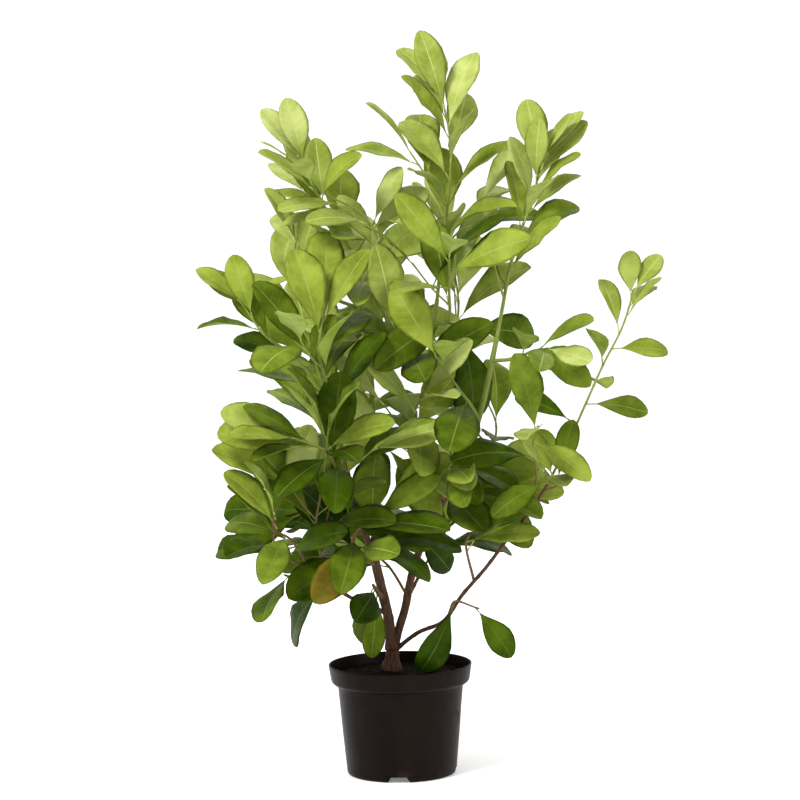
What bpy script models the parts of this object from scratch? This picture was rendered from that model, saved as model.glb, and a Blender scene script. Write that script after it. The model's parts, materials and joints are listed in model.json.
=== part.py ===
"""Cherry laurel in a round nursery pot.

Metres, +Z up. The origin is the middle of the pot's flat underside, which stands on the ground.
The front of the plant looks along -Y. Every limb is one tapering tube along a smooth route. Every
mass of leaves is one shoot: a stem, seeded side twigs, and leaves set round it in a spiral.
"""
import math
import random
from collections import namedtuple

import bmesh
import bpy
import numpy as np
from mathutils.bvhtree import BVHTree

# Space left between two nodes that touch on the real plant
GAP = 0.0003

# Pot: a 5 litre nursery container
POT_HEIGHT = 0.174
RIM_RADIUS = 0.1125
RIM_BAND_HEIGHT = 0.032
RIM_BAND_CURVE = 0.010
RIM_BAND_FOOT_RADIUS = 0.1093
BODY_TOP_RADIUS = 0.0985
BODY_FOOT_RADIUS = 0.0865
FOOT_ROUND = 0.006
RIM_EDGE_ROUND = 0.001
WALL = 0.0025
FLOOR_THICKNESS = 0.011
POT_SEGMENTS = 36
DRAIN_COUNT = 4
DRAIN_HEIGHT = 0.009
DRAIN_TOP_WIDTH = 0.023
DRAIN_FOOT_WIDTH = 0.036
DRAIN_INNER_RADIUS = 0.045
FRONT_DRAIN_TURN = 266.6
SOIL_TOP = 0.157
SOIL_CLEARANCE = 0.0006
SOIL_SEGMENTS = 16

# Limbs and stems
LIMB_SIDES = 7
STEM_SIDES = 4
LIMB_STEP = 0.06
STEM_STEP = 0.06
ROOT_FLARE = 0.55
FLARE_LENGTH = 0.012
STEM_FOOT_SHARE = 0.85
STEM_FOOT_RADIUS = 0.0032
BUD_RADIUS = 0.0013
TWIG_POINTS = 3
TWIG_FOOT_SHARE = 0.72
TWIG_TIP_RADIUS = 0.0012
TWIG_SHARE = 0.34
TWIG_SHORTEST = 0.05
TWIG_LONGEST = 0.085
TWIG_CURVE = 0.22

# Leaves
GOLDEN_ANGLE = 137.5
PETIOLE = 0.014
PETIOLE_RADIUS = 0.0008
ROOT_SINK = 0.0015
LEAF_THICKNESS = 0.016
LEAF_WIDEST = 1.4
LEAF_TAPER = 1.0
LEAF_ROUNDNESS = 0.48
LEAF_RINGS = (0.44, 0.82)
RING_FILL = 1.05
LEAF_WIDTH = 0.43
LEAF_WIDTH_VARIES = 0.10
LEAF_FOLD = 14
LEAF_FOLD_VARIES = 16
LEAF_BEND = 0.25
LEAF_BEND_WITH_AGE = 0.65
LEAF_BEND_VARIES = 0.20
TOWARDS_LIGHT = (0.0, -0.5, 0.7)
TOWARDS_TIP = 0.4
LEAF_CROWDING = 1.4
CLEARANCE = 0.0006
SIDE_TWIG_LEAVES = 3
TRIES = ((0, 0), (14, -4), (-14, 4), (28, -8), (-28, 8), (42, -12), (-42, 12), (60, 0), (-60, 0))

Limb = namedtuple("Limb", "name parent at radii route")
Shoot = namedtuple("Shoot", "name limb at leaves twigs length tone route phase spread droop seed")
Leaf = namedtuple("Leaf", "root heading face length width petiole bend fold tone")

# Each limb: its parent, the share of the parent where it starts, its radii and its route
LIMBS = (
    Limb("trunk", None, 0, (0.0105, 0.0092), (
        (-0.014, 0.020, SOIL_TOP + GAP),
        (-0.012, 0.020, 0.183),
        (-0.010, 0.018, 0.206),
    )),
    Limb("stem_left", "trunk", 0.75, (0.0086, 0.0072), (
        (-0.020, 0.012, 0.264),
        (-0.033, 0.000, 0.319),
        (-0.040, -0.004, 0.354),
    )),
    Limb("stem_right", "trunk", 0.8, (0.0068, 0.004), (
        (0.009, 0.020, 0.255),
        (0.023, 0.020, 0.318),
        (0.037, 0.015, 0.358),
        (0.069, 0.000, 0.423),
        (0.096, -0.020, 0.472),
        (0.115, -0.030, 0.522),
        (0.135, -0.040, 0.582),
        (0.159, -0.050, 0.687),
    )),
    Limb("stem_left_front", "stem_left", 0.96, (0.0054, 0.0036), (
        (-0.058, -0.020, 0.404),
        (-0.077, -0.045, 0.473),
        (-0.086, -0.060, 0.534),
        (-0.095, -0.070, 0.585),
    )),
    Limb("stem_left_back", "stem_left", 0.93, (0.0058, 0.0036), (
        (-0.035, 0.012, 0.396),
        (-0.031, 0.030, 0.460),
        (-0.036, 0.045, 0.522),
        (-0.036, 0.050, 0.585),
        (-0.041, 0.055, 0.664),
        (-0.061, 0.050, 0.743),
    )),
    Limb("leader", "stem_right", 0.36, (0.005, 0.0034), (
        (0.033, 0.030, 0.412),
        (0.037, 0.035, 0.474),
        (0.045, 0.035, 0.569),
        (0.055, 0.030, 0.648),
        (0.069, 0.020, 0.743),
    )),
    Limb("bough_low_right", "trunk", 0.62, (0.0034, 0.0024), (
        (0.024, 0.000, 0.219),
        (0.064, -0.030, 0.239),
        (0.092, -0.050, 0.280),
        (0.127, -0.060, 0.320),
        (0.166, -0.070, 0.372),
        (0.210, -0.070, 0.424),
        (0.237, -0.070, 0.467),
    )),
    Limb("bough_low_left", "stem_left", 0.35, (0.0032, 0.0024), (
        (-0.061, -0.010, 0.273),
        (-0.099, -0.040, 0.301),
        (-0.147, -0.070, 0.339),
    )),
    Limb("bough_rear_left", "stem_left", 0.8, (0.0042, 0.003), (
        (-0.052, 0.070, 0.368),
        (-0.072, 0.130, 0.433),
        (-0.087, 0.170, 0.510),
    )),
    Limb("bough_rear_right", "stem_right", 0.42, (0.0042, 0.003), (
        (0.055, 0.090, 0.387),
        (0.080, 0.150, 0.460),
        (0.092, 0.190, 0.537),
    )),
    Limb("bough_rear_low", "trunk", 0.9, (0.0034, 0.0026), (
        (0.001, 0.070, 0.234),
        (0.021, 0.130, 0.269),
        (0.043, 0.170, 0.304),
    )),
)

LEAF_GREENS = ((0.020, 0.045, 0.006), (0.075, 0.120, 0.018), (0.16, 0.23, 0.035), (0.36, 0.44, 0.09))

# Each shoot: its limb and the share of it where it starts, its leaves and side twigs, the leaf
# length, the tone from dark to lime, its route, and how the leaves are turned, spread and hung
SHOOTS = (
    Shoot("top_left", "stem_left_back", 1.0, 8, 3, 0.098, 0.78, (
        (-0.074, 0.045, 0.804), (-0.093, 0.040, 0.870), (-0.117, 0.032, 0.917), (-0.139, 0.020, 0.965),
    ), 350, (35, 8), 0.15, 299),
    Shoot("top_left_inner", "stem_left_back", 0.93, 12, 0, 0.102, 0.74, (
        (-0.048, 0.020, 0.761), (-0.018, -0.017, 0.851), (-0.098, -0.011, 0.910),
    ), 350, (60, 12), 0.15, 883),
    Shoot("upper_left", "stem_left_back", 0.97, 8, 0, 0.092, 0.86, (
        (-0.091, 0.020, 0.746), (-0.148, 0.015, 0.804), (-0.153, 0.022, 0.858),
    ), 10, (50, 8), 0.15, 776),
    Shoot("back_centre", "stem_left_back", 0.75, 8, 2, 0.122, 0.8, (
        (-0.026, 0.100, 0.644), (-0.007, 0.108, 0.693), (-0.046, 0.176, 0.787),
    ), 100, (40, 8), 0.15, 942),
    Shoot("centre_left", "stem_left_back", 0.45, 5, 0, 0.128, 0.68, (
        (-0.028, 0.011, 0.523), (0.017, -0.020, 0.515),
    ), 10, (40, 8), 0.15, 243),
    Shoot("rear_left_top", "bough_rear_left", 1.0, 8, 2, 0.128, 0.53, (
        (-0.100, 0.190, 0.581), (-0.124, 0.207, 0.653), (-0.150, 0.190, 0.737),
    ), 300, (45, 16), 0.15, 161),
    Shoot("rear_left_side", "bough_rear_left", 0.75, 7, 1, 0.123, 0.48, (
        (-0.115, 0.190, 0.508), (-0.126, 0.268, 0.527), (-0.134, 0.245, 0.544),
    ), 20, (60, 8), 0.15, 164),
    Shoot("rear_left_low", "bough_rear_left", 0.35, 6, 1, 0.128, 0.16, (
        (-0.108, 0.100, 0.357), (-0.124, 0.160, 0.411), (-0.165, 0.139, 0.391),
    ), 110, (40, 8), 0.15, 727),
    Shoot("mid_left", "stem_left_front", 1.0, 8, 0, 0.088, 0.4, (
        (-0.117, -0.080, 0.622), (-0.158, -0.110, 0.674), (-0.190, -0.135, 0.698), (-0.229, -0.130, 0.753),
    ), 80, (50, 16), 0.15, 881),
    Shoot("mid_left_inner", "stem_left_front", 0.7, 10, 2, 0.122, 0.49, (
        (-0.094, -0.110, 0.593), (-0.114, -0.135, 0.689), (-0.091, -0.081, 0.776),
    ), 130, (35, 8), 0.15, 101),
    Shoot("left_front", "stem_left_front", 0.5, 10, 0, 0.115, 0.34, (
        (-0.094, -0.080, 0.498), (-0.105, -0.129, 0.525), (-0.155, -0.148, 0.548),
    ), 0, (40, 8), 0.15, 426),
    Shoot("left_rising", "bough_low_left", 0.7, 14, 3, 0.122, 0.44, (
        (-0.125, -0.090, 0.399), (-0.114, -0.095, 0.463), (-0.100, -0.127, 0.575),
    ), 80, (40, 16), 0.15, 442),
    Shoot("left_lime", "bough_low_left", 0.9, 7, 0, 0.109, 0.69, (
        (-0.172, -0.100, 0.401), (-0.191, -0.138, 0.418), (-0.170, -0.136, 0.468),
    ), 210, (50, 20), 0.15, 40),
    Shoot("low_left_tip", "bough_low_left", 1.0, 8, 0, 0.099, 0.29, (
        (-0.174, -0.085, 0.356), (-0.202, -0.120, 0.400), (-0.186, -0.118, 0.415),
    ), 80, (60, 8), 0.15, 248),
    Shoot("low_left_hanging", "bough_low_left", 0.45, 2, 0, 0.117, 0.02, (
        (-0.100, -0.045, 0.302), (-0.170, -0.080, 0.327),
    ), 200, (80, 45), 0.9, 969),
    Shoot("low_front_left", "stem_left", 0.5, 3, 0, 0.104, 0.03, (
        (-0.046, -0.045, 0.313), (-0.033, -0.047, 0.291),
    ), 220, (80, 50), 0.9, 994),
    Shoot("inner_left", "stem_left", 0.85, 13, 2, 0.128, 0.32, (
        (-0.075, -0.077, 0.374), (-0.023, -0.093, 0.431),
    ), 160, (70, 16), 0.15, 478),
    Shoot("top", "leader", 1.0, 13, 2, 0.111, 0.71, (
        (0.078, 0.010, 0.821), (0.094, -0.024, 0.965), (0.082, -0.005, 1.056),
    ), 50, (35, 20), 0.15, 506),
    Shoot("leader_front", "leader", 0.8, 4, 2, 0.128, 0.52, (
        (0.027, -0.010, 0.613), (0.021, -0.043, 0.662), (-0.013, -0.059, 0.732),
    ), 60, (75, 12), 0.15, 857),
    Shoot("leader_right", "leader", 0.9, 6, 2, 0.128, 0.48, (
        (0.083, 0.000, 0.689), (0.086, -0.039, 0.741), (0.087, -0.110, 0.818),
    ), 40, (60, 25), 0.15, 131),
    Shoot("centre_front", "leader", 0.45, 13, 2, 0.120, 0.72, (
        (0.025, -0.020, 0.512), (0.016, -0.008, 0.535), (0.044, -0.060, 0.602),
    ), 30, (75, 25), 0.15, 565),
    Shoot("centre_low", "leader", 0.15, 6, 0, 0.097, 0.24, (
        (0.013, -0.003, 0.354), (-0.033, -0.056, 0.402),
    ), 250, (65, 12), 0.15, 924),
    Shoot("rear_right_top", "bough_rear_right", 1.0, 10, 2, 0.128, 0.85, (
        (0.093, 0.200, 0.617), (0.106, 0.220, 0.725), (0.087, 0.163, 0.840),
    ), 140, (45, 12), 0.15, 228),
    Shoot("rear_right_side", "bough_rear_right", 0.75, 5, 2, 0.121, 0.42, (
        (0.120, 0.200, 0.470), (0.168, 0.253, 0.500), (0.145, 0.279, 0.570),
    ), 30, (40, 12), 0.15, 573),
    Shoot("rear_low_right", "bough_rear_low", 1.0, 6, 1, 0.128, 0.31, (
        (0.057, 0.201, 0.318), (0.089, 0.221, 0.370),
    ), 260, (40, 25), 0.15, 129),
    Shoot("rear_low_left", "bough_rear_low", 0.6, 6, 0, 0.128, 0.27, (
        (-0.041, 0.149, 0.331), (-0.133, 0.204, 0.341),
    ), 310, (50, 8), 0.15, 811),
    Shoot("top_right", "stem_right", 1.0, 16, 1, 0.102, 0.68, (
        (0.174, -0.050, 0.760), (0.188, -0.040, 0.821), (0.215, -0.039, 0.890), (0.231, -0.050, 0.956),
    ), 250, (35, 20), 0.15, 991),
    Shoot("right_upper", "stem_right", 0.93, 6, 0, 0.101, 0.47, (
        (0.178, -0.080, 0.655), (0.207, -0.110, 0.669), (0.230, -0.170, 0.678),
    ), 170, (40, 20), 0.15, 653),
    Shoot("right_inner", "stem_right", 0.72, 6, 0, 0.128, 0.53, (
        (0.138, -0.040, 0.547), (0.066, -0.126, 0.663),
    ), 210, (55, 30), 0.15, 381),
    Shoot("right_front", "stem_right", 0.58, 13, 0, 0.100, 0.55, (
        (0.087, -0.084, 0.501), (0.085, -0.090, 0.493),
    ), 110, (40, 12), 0.15, 828),
    Shoot("right_low", "stem_right", 0.48, 12, 0, 0.128, 0.39, (
        (0.049, -0.011, 0.436), (0.131, -0.036, 0.455),
    ), 220, (50, 8), 0.15, 762),
    Shoot("right_tip", "bough_low_right", 1.0, 10, 0, 0.080, 0.56, (
        (0.264, -0.070, 0.521), (0.293, -0.065, 0.582), (0.329, -0.060, 0.658), (0.366, -0.057, 0.727),
        (0.371, -0.035, 0.751),
    ), 270, (75, 12), 0.15, 603),
    Shoot("right_side", "bough_low_right", 0.86, 5, 0, 0.114, 0.46, (
        (0.216, -0.090, 0.485), (0.208, -0.120, 0.540), (0.215, -0.156, 0.557),
    ), 140, (70, 30), 0.15, 718),
    Shoot("right_outer", "bough_low_right", 0.95, 4, 1, 0.084, 0.48, (
        (0.254, -0.100, 0.467), (0.236, -0.086, 0.474),
    ), 250, (55, 25), 0.15, 508),
    Shoot("low_right_twig", "bough_low_right", 0.5, 10, 0, 0.105, 0.33, (
        (0.107, -0.070, 0.361), (0.108, -0.087, 0.401), (0.130, -0.115, 0.404),
    ), 280, (35, 20), 0.15, 150),
    Shoot("low_right_front", "bough_low_right", 0.33, 2, 0, 0.098, 0.06, (
        (0.091, -0.090, 0.286), (0.118, -0.117, 0.278),
    ), 340, (75, 40), 0.7, 139),
)


def unit(vector):
    """The vector made one long."""
    return vector / np.linalg.norm(vector)


def turned(vector, axis, degrees):
    """The vector turned about a unit axis, by the rotation formula of Rodrigues."""
    angle = math.radians(degrees)
    along = axis * axis.dot(vector)
    return along + (vector - along) * math.cos(angle) + np.cross(axis, vector) * math.sin(angle)


def smooth_route(points, step):
    """A Catmull-Rom curve through the points, read at even steps along its length."""
    knots = np.array(points, float)
    padded = np.vstack((2 * knots[0] - knots[1], knots, 2 * knots[-1] - knots[-2]))
    t = np.linspace(0, 1, 24, endpoint=False)[:, None]
    pieces = []
    for a, b, c, d in zip(padded, padded[1:], padded[2:], padded[3:]):
        bend = (2 * a - 5 * b + 4 * c - d) * t**2 + (3 * b - a - 3 * c + d) * t**3
        pieces.append(0.5 * (2 * b + (c - a) * t + bend))
    fine = np.vstack(pieces + [knots[-1:]])
    along = np.append(0, np.cumsum(np.linalg.norm(np.diff(fine, axis=0), axis=1)))
    count = max(3, round(along[-1] / step) + 1)
    even = np.linspace(0, along[-1], count)
    return np.stack([np.interp(even, along, fine[:, axis]) for axis in range(3)], axis=1)


def at_share(path, share):
    """The point and the unit direction at a share of the path, from 0 at its foot to 1 at its tip."""
    place = share * (len(path) - 1)
    index = min(int(place), len(path) - 2)
    step = path[index + 1] - path[index]
    return path[index] + step * (place - index), unit(step)


def tube(path, radii, sides, level_foot=False):
    """Points and faces of a closed tube: a ring of corners square to the path at each of its points.

    Each ring is the one before it, turned by as much as the path turns, so the tube has no twist.
    """
    tangents = np.gradient(path, axis=0)
    tangents /= np.linalg.norm(tangents, axis=1)[:, None]
    if level_foot:
        tangents[0] = (0, 0, 1)
    side = np.cross(tangents[0], (0.31, 0.95, 0.05))
    angles = np.arange(sides) * 2 * math.pi / sides
    points = []
    for centre, tangent, radius in zip(path, tangents, radii):
        side = unit(side - tangent * tangent.dot(side))
        other = np.cross(tangent, side)
        ring = np.outer(np.cos(angles), side) + np.outer(np.sin(angles), other)
        points.append(centre + radius * ring)
    faces = []
    for ring in range(len(path) - 1):
        for k in range(sides):
            a = ring * sides + k
            b = ring * sides + (k + 1) % sides
            faces.append((a, b, b + sides))
            faces.append((a, b + sides, a + sides))
    last = (len(path) - 1) * sides
    for k in range(1, sides - 1):
        faces.append((0, k + 1, k))
        faces.append((last, last + k, last + k + 1))
    return np.vstack(points), faces


def limb_paths():
    """Each limb's path and its radii; a limb starts on its parent's axis at the given share of it."""
    paths = {}
    for limb in LIMBS:
        route = list(limb.route)
        if limb.parent:
            route.insert(0, tuple(at_share(paths[limb.parent][0], limb.at)[0]))
        path = smooth_route(route, LIMB_STEP if limb.parent else LIMB_STEP / 4)
        share = np.linspace(0, 1, len(path))
        radii = limb.radii[0] + (limb.radii[1] - limb.radii[0]) * share
        if not limb.parent:
            height = path[:, 2] - path[0, 2]
            radii = radii * (1 + ROOT_FLARE * np.exp(-height / FLARE_LENGTH))
        paths[limb.name] = (path, radii)
    return paths


def stem_path(shoot, paths):
    """A shoot's stem: it grows on from its limb's tip, or out of the limb's side, and thins to its bud."""
    path, radii = paths[shoot.limb]
    start, direction = at_share(path, shoot.at)
    if shoot.at == 1:
        start = start - direction * radii[-1]
    stem = smooth_route([tuple(start)] + list(shoot.route), STEM_STEP)
    foot = STEM_FOOT_SHARE * np.interp(shoot.at, np.linspace(0, 1, len(radii)), radii)
    foot = min(foot, STEM_FOOT_RADIUS)
    return stem, foot + (BUD_RADIUS - foot) * np.linspace(0, 1, len(stem))


def leaf_half_width(share):
    """Half the blade's width over its greatest half width: a sine hump, widest past the middle.

    Its power falls from foot to tip, so that the foot is tapered and the tip is round.
    """
    share = np.asarray(share, float)
    return np.sin(math.pi * share**LEAF_WIDEST)**(LEAF_TAPER - LEAF_ROUNDNESS * share)


def leaf_midrib(leaf, share):
    """Points of the midrib, which bends away from the face on a round arc, and the face there."""
    share = np.asarray(share, float)[:, None]
    angle = leaf.bend * share
    forward = np.sin(angle) / leaf.bend
    down = (1 - np.cos(angle)) / leaf.bend
    blade = leaf.root + leaf.petiole * leaf.heading
    points = blade + leaf.length * (forward * leaf.heading - down * leaf.face)
    return points, np.cos(angle) * leaf.face + np.sin(angle) * leaf.heading


def leaf_solid(leaf, grow=0.0, stalk=1.0):
    """Points and faces of a leaf's solid: a stalk, and a blade of lens section folded along its midrib.

    The stalk's foot has three corners. Each ring of the blade has a left edge, a top, a right edge
    and an underside, and the tip is one point. grow makes the solid fatter all round, and stalk is
    the share of the leaf stalk that it has.
    """
    side = np.cross(leaf.heading, leaf.face)
    rise = math.sin(leaf.fold)
    spread = math.cos(leaf.fold)
    radius = PETIOLE_RADIUS + grow
    foot = leaf.root + (1 - stalk) * leaf.petiole * leaf.heading
    points = [foot + radius * side]
    points += [foot + radius * (sign * 0.87 * leaf.face - 0.5 * side) for sign in (1, -1)]
    middles, faces_up = leaf_midrib(leaf, LEAF_RINGS)
    halves = 0.5 * leaf.width * RING_FILL * leaf_half_width(LEAF_RINGS) + grow
    thick = 0.5 * LEAF_THICKNESS * leaf.length + grow
    for middle, up, half in zip(middles, faces_up, halves):
        points += [middle + half * (spread * side + rise * up), middle + thick * up]
        points += [middle + half * (rise * up - spread * side), middle - thick * up]
    points.append(leaf_midrib(leaf, (1.0,))[0][0] + grow * leaf.heading)
    faces = [(0, 1, 2), (0, 3, 4), (0, 4, 1), (1, 4, 5), (1, 5, 2), (2, 5, 6), (2, 6, 0), (0, 6, 3)]
    for k in range(4):
        a = 3 + k
        b = 3 + (k + 1) % 4
        if k % 2 == 0:
            faces += [(a, a + 4, b + 4), (a, b + 4, b)]
        else:
            faces += [(a, a + 4, b), (b, a + 4, b + 4)]
    faces += [(7 + k, 11, 7 + (k + 1) % 4) for k in range(4)]
    return np.array(points), faces


class Space:
    """What is already taken up: the box and the search tree of each solid, with its owner's name."""

    def __init__(self):
        self.lows = np.zeros((0, 3))
        self.highs = np.zeros((0, 3))
        self.trees = []
        self.owners = []

    def add(self, owner, points, faces):
        """Take up a solid's space."""
        self.lows = np.vstack((self.lows, points.min(axis=0)))
        self.highs = np.vstack((self.highs, points.max(axis=0)))
        self.trees.append(BVHTree.FromPolygons(points.tolist(), faces))
        self.owners.append(owner)

    def free(self, points, faces, wanted):
        """True where the solid touches none of the solids whose owner is wanted."""
        apart = (points.min(axis=0) > self.highs) | (points.max(axis=0) < self.lows)
        near = [k for k in np.flatnonzero(~apart.any(axis=1)) if wanted(self.owners[k])]
        if not near:
            return True
        tree = BVHTree.FromPolygons(points.tolist(), faces)
        return not any(tree.overlap(self.trees[k]) for k in near)


def fits(space, owner, leaf):
    """True where the leaf is clear of every other mass and limb, and its blade of its own mass."""
    if not space.free(*leaf_solid(leaf, CLEARANCE), lambda name: name != owner):
        return False
    return space.free(*leaf_solid(leaf, CLEARANCE, 0.0), lambda name: name == owner)


def leaf_at(shoot, path, share, age, turn, tilt, draws):
    """The leaf that sits at a share of a twig's path, turned round it and tilted away from it."""
    root, axis = at_share(path, share)
    root = root - ROOT_SINK * axis
    front = unit(np.array((0.0, -1.0, 0.0)) + axis * axis[1])
    outward = turned(front, axis, turn)
    angle = math.radians(tilt)
    heading = unit(axis * math.cos(angle) + outward * math.sin(angle))
    heading = unit(heading - np.array((0, 0, shoot.droop * (0.3 + age) * draws[3])))
    face = TOWARDS_TIP * axis + np.array(TOWARDS_LIGHT)
    face = face - heading * face.dot(heading)
    if np.linalg.norm(face) < 0.2:
        face = front - heading * front.dot(heading)
    face = turned(unit(face), heading, 50 * (draws[0] - 0.5))
    length = shoot.length * (0.9 + 0.2 * math.sqrt(age)) * (0.9 + 0.2 * draws[1])
    width = length * (LEAF_WIDTH + LEAF_WIDTH_VARIES * draws[2])
    bend = LEAF_BEND + LEAF_BEND_WITH_AGE * age * draws[4] + LEAF_BEND_VARIES * draws[5]
    fold = math.radians(LEAF_FOLD + LEAF_FOLD_VARIES * draws[6])
    petiole = PETIOLE * (0.7 + 0.5 * age)
    tone = shoot.tone + 0.25 * (1 - age) - 0.15 * age + 0.3 * (draws[7] - 0.5)
    return Leaf(root, heading, face, length, width, petiole, bend, fold, tone)


def leaves_on(shoot, path, count, first, phase, rng, space):
    """Leaves in a spiral up a twig, closer together and more upright towards its tip.

    A leaf that touches something is turned round the twig a little and tried again, then skipped.
    """
    leaves = []
    for k in range(count):
        young = k / max(1, count - 1)
        share = 1 - (1 - first) * (1 - young)**LEAF_CROWDING
        tilt = shoot.spread[0] + (shoot.spread[1] - shoot.spread[0]) * young
        draws = [rng.random() for _ in range(8)]
        turn = phase + k * GOLDEN_ANGLE + 16 * (rng.random() - 0.5)
        tilt = tilt * (0.85 + 0.3 * rng.random())
        for more_turn, more_tilt in TRIES:
            leaf = leaf_at(shoot, path, share, 1 - young, turn + more_turn, tilt + more_tilt, draws)
            if fits(space, shoot.name, leaf):
                leaves.append(leaf)
                space.add(shoot.name, *leaf_solid(leaf))
                break
    return leaves


def side_twigs(shoot, stem, radii, rng, space):
    """Side twigs that branch off a stem by turns of the golden angle and curve up to the light."""
    twigs = []
    length = np.linalg.norm(np.diff(stem, axis=0), axis=1).sum()
    for k in range(shoot.twigs):
        share = 0.22 + 0.5 * k / shoot.twigs + 0.06 * rng.random()
        root, axis = at_share(stem, share)
        front = unit(np.array((0.0, -1.0, 0.0)) + axis * axis[1])
        turn = shoot.phase + 75 + k * GOLDEN_ANGLE + 30 * (rng.random() - 0.5)
        reach = min(max(TWIG_SHARE * length, TWIG_SHORTEST), TWIG_LONGEST) * (0.85 + 0.3 * rng.random())
        for more_turn, _ in TRIES:
            outward = turned(front, axis, turn + more_turn)
            heading = unit(0.75 * axis + outward)
            shares = np.linspace(0, 1, TWIG_POINTS)[:, None]
            path = root + reach * (shares * heading + TWIG_CURVE * shares**2 * np.array((0, 0, 1.0)))
            thick = np.interp(share, np.linspace(0, 1, len(radii)), radii) * TWIG_FOOT_SHARE
            sizes = np.linspace(thick, TWIG_TIP_RADIUS, TWIG_POINTS)
            if space.free(*tube(path, sizes + CLEARANCE, STEM_SIDES), lambda name: name != shoot.name):
                twigs.append((path, sizes))
                break
    return twigs


def grow_plant():
    """Every limb's path and every shoot's stem, twigs and leaves, each clear of all the others."""
    paths = limb_paths()
    space = Space()
    space.add("pot", *turned_profile(pot_profile(), POT_SEGMENTS))
    space.add("soil", *turned_profile(soil_profile(), SOIL_SEGMENTS))
    for name, (path, radii) in paths.items():
        space.add(name, *tube(path, radii + CLEARANCE, LIMB_SIDES))
    stems = {shoot.name: stem_path(shoot, paths) for shoot in SHOOTS}
    for name, (stem, radii) in stems.items():
        space.add(name, *tube(stem, radii, STEM_SIDES))
    grown = {}
    for shoot in SHOOTS:
        rng = random.Random(shoot.seed)
        stem, radii = stems[shoot.name]
        twigs = side_twigs(shoot, stem, radii, rng, space)
        for path, sizes in twigs:
            space.add(shoot.name, *tube(path, sizes, STEM_SIDES))
        grown[shoot.name] = (stem, radii, twigs, rng)
    plant = {}
    for shoot in SHOOTS:
        stem, radii, twigs, rng = grown[shoot.name]
        first = 0.3 if shoot.leaves > 4 else 0.45
        leaves = leaves_on(shoot, stem, shoot.leaves, first, shoot.phase, rng, space)
        for number, (path, sizes) in enumerate(twigs):
            phase = shoot.phase + 50 * number
            leaves += leaves_on(shoot, path, SIDE_TWIG_LEAVES, 0.5, phase, rng, space)
        plant[shoot.name] = (stem, radii, twigs, leaves)
    return paths, plant


def turned_profile(profile, segments):
    """Points and faces of a profile of (radius, height) turned round the Z axis.

    The profile runs from the axis at the bottom, out and up, and back to the axis.
    """
    angles = np.arange(segments) * 2 * math.pi / segments
    round_ring = np.stack((np.cos(angles), np.sin(angles), np.zeros(segments)), axis=1)
    points = [np.array([[0, 0, profile[0][1]]])]
    for radius, height in profile[1:-1]:
        points.append(radius * round_ring + (0, 0, height))
    points.append(np.array([[0, 0, profile[-1][1]]]))
    faces = []
    for k in range(segments):
        following = (k + 1) % segments
        faces.append((0, 1 + following, 1 + k))
        for ring in range(len(profile) - 3):
            a = 1 + ring * segments + k
            b = 1 + ring * segments + following
            faces.append((a, b, b + segments))
            faces.append((a, b + segments, a + segments))
        last = 1 + (len(profile) - 3) * segments
        faces.append((last + segments, last + k, last + following))
    return np.vstack(points), faces


def pot_profile():
    """The pot's wall: rounded foot, leaning body, the curve out to the rim band, and back down inside."""
    steps = np.radians((-90, -45, 0))
    centre = BODY_FOOT_RADIUS - FOOT_ROUND
    foot = [(centre + FOOT_ROUND * math.cos(a), FOOT_ROUND + FOOT_ROUND * math.sin(a)) for a in steps]
    band = POT_HEIGHT - RIM_BAND_HEIGHT
    step_out = RIM_BAND_FOOT_RADIUS - BODY_TOP_RADIUS
    steps = np.radians((-90, -60, -30, 0))
    level = band + RIM_BAND_CURVE
    curve = [(BODY_TOP_RADIUS + step_out * math.cos(a), level + RIM_BAND_CURVE * math.sin(a)) for a in steps]
    edge = RIM_EDGE_ROUND
    rim = [(RIM_RADIUS, POT_HEIGHT - 1.5 * edge), (RIM_RADIUS - edge, POT_HEIGHT)]
    inside = [
        (RIM_RADIUS - WALL, POT_HEIGHT - edge),
        (RIM_BAND_FOOT_RADIUS - WALL, level),
        (BODY_TOP_RADIUS + 0.55 * step_out - WALL, band + 0.35 * RIM_BAND_CURVE),
        (BODY_TOP_RADIUS - WALL, band + edge),
        (BODY_FOOT_RADIUS - WALL, FLOOR_THICKNESS),
        (0.0, FLOOR_THICKNESS),
    ]
    return [(0.0, 0.0)] + foot + curve + rim + inside


def soil_profile():
    """The root ball: the pot's inside up to the soil line, a little clear of the wall."""
    inside = pot_profile()[-2:-6:-1]
    wall = [(radius - SOIL_CLEARANCE, height + SOIL_CLEARANCE) for radius, height in inside]
    edge = wall[-1][0]
    top = [(edge, SOIL_TOP - 0.002), (edge - 0.005, SOIL_TOP), (0.0, SOIL_TOP)]
    return [(0.0, wall[0][1])] + wall + top


def drain_slot(angle):
    """Points and faces of the cutter for one drain slot: a wedge that flares towards the ground."""
    low, high = -0.002, DRAIN_HEIGHT
    near, far = DRAIN_INNER_RADIUS, RIM_RADIUS
    foot, top = DRAIN_FOOT_WIDTH / 2, DRAIN_TOP_WIDTH / 2
    corners = []
    for out in (near, far):
        corners += [(out, -foot, low), (out, foot, low), (out, top, high), (out, -top, high)]
    cosine, sine = math.cos(angle), math.sin(angle)
    points = np.array([(x * cosine - y * sine, x * sine + y * cosine, z) for x, y, z in corners])
    faces = [(0, 3, 2, 1), (4, 5, 6, 7), (0, 1, 5, 4), (1, 2, 6, 5), (2, 3, 7, 6), (3, 0, 4, 7)]
    return points, faces


def plain_material(name, colour, roughness):
    """A Principled BSDF material of one colour."""
    material = bpy.data.materials.new(name)
    material.use_nodes = True
    shader = material.node_tree.nodes["Principled BSDF"]
    shader.inputs["Base Color"].default_value = (*colour, 1.0)
    shader.inputs["Roughness"].default_value = roughness
    shader.inputs["Metallic"].default_value = 0.0
    material.diffuse_color = (*colour, 1.0)
    return material


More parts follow.
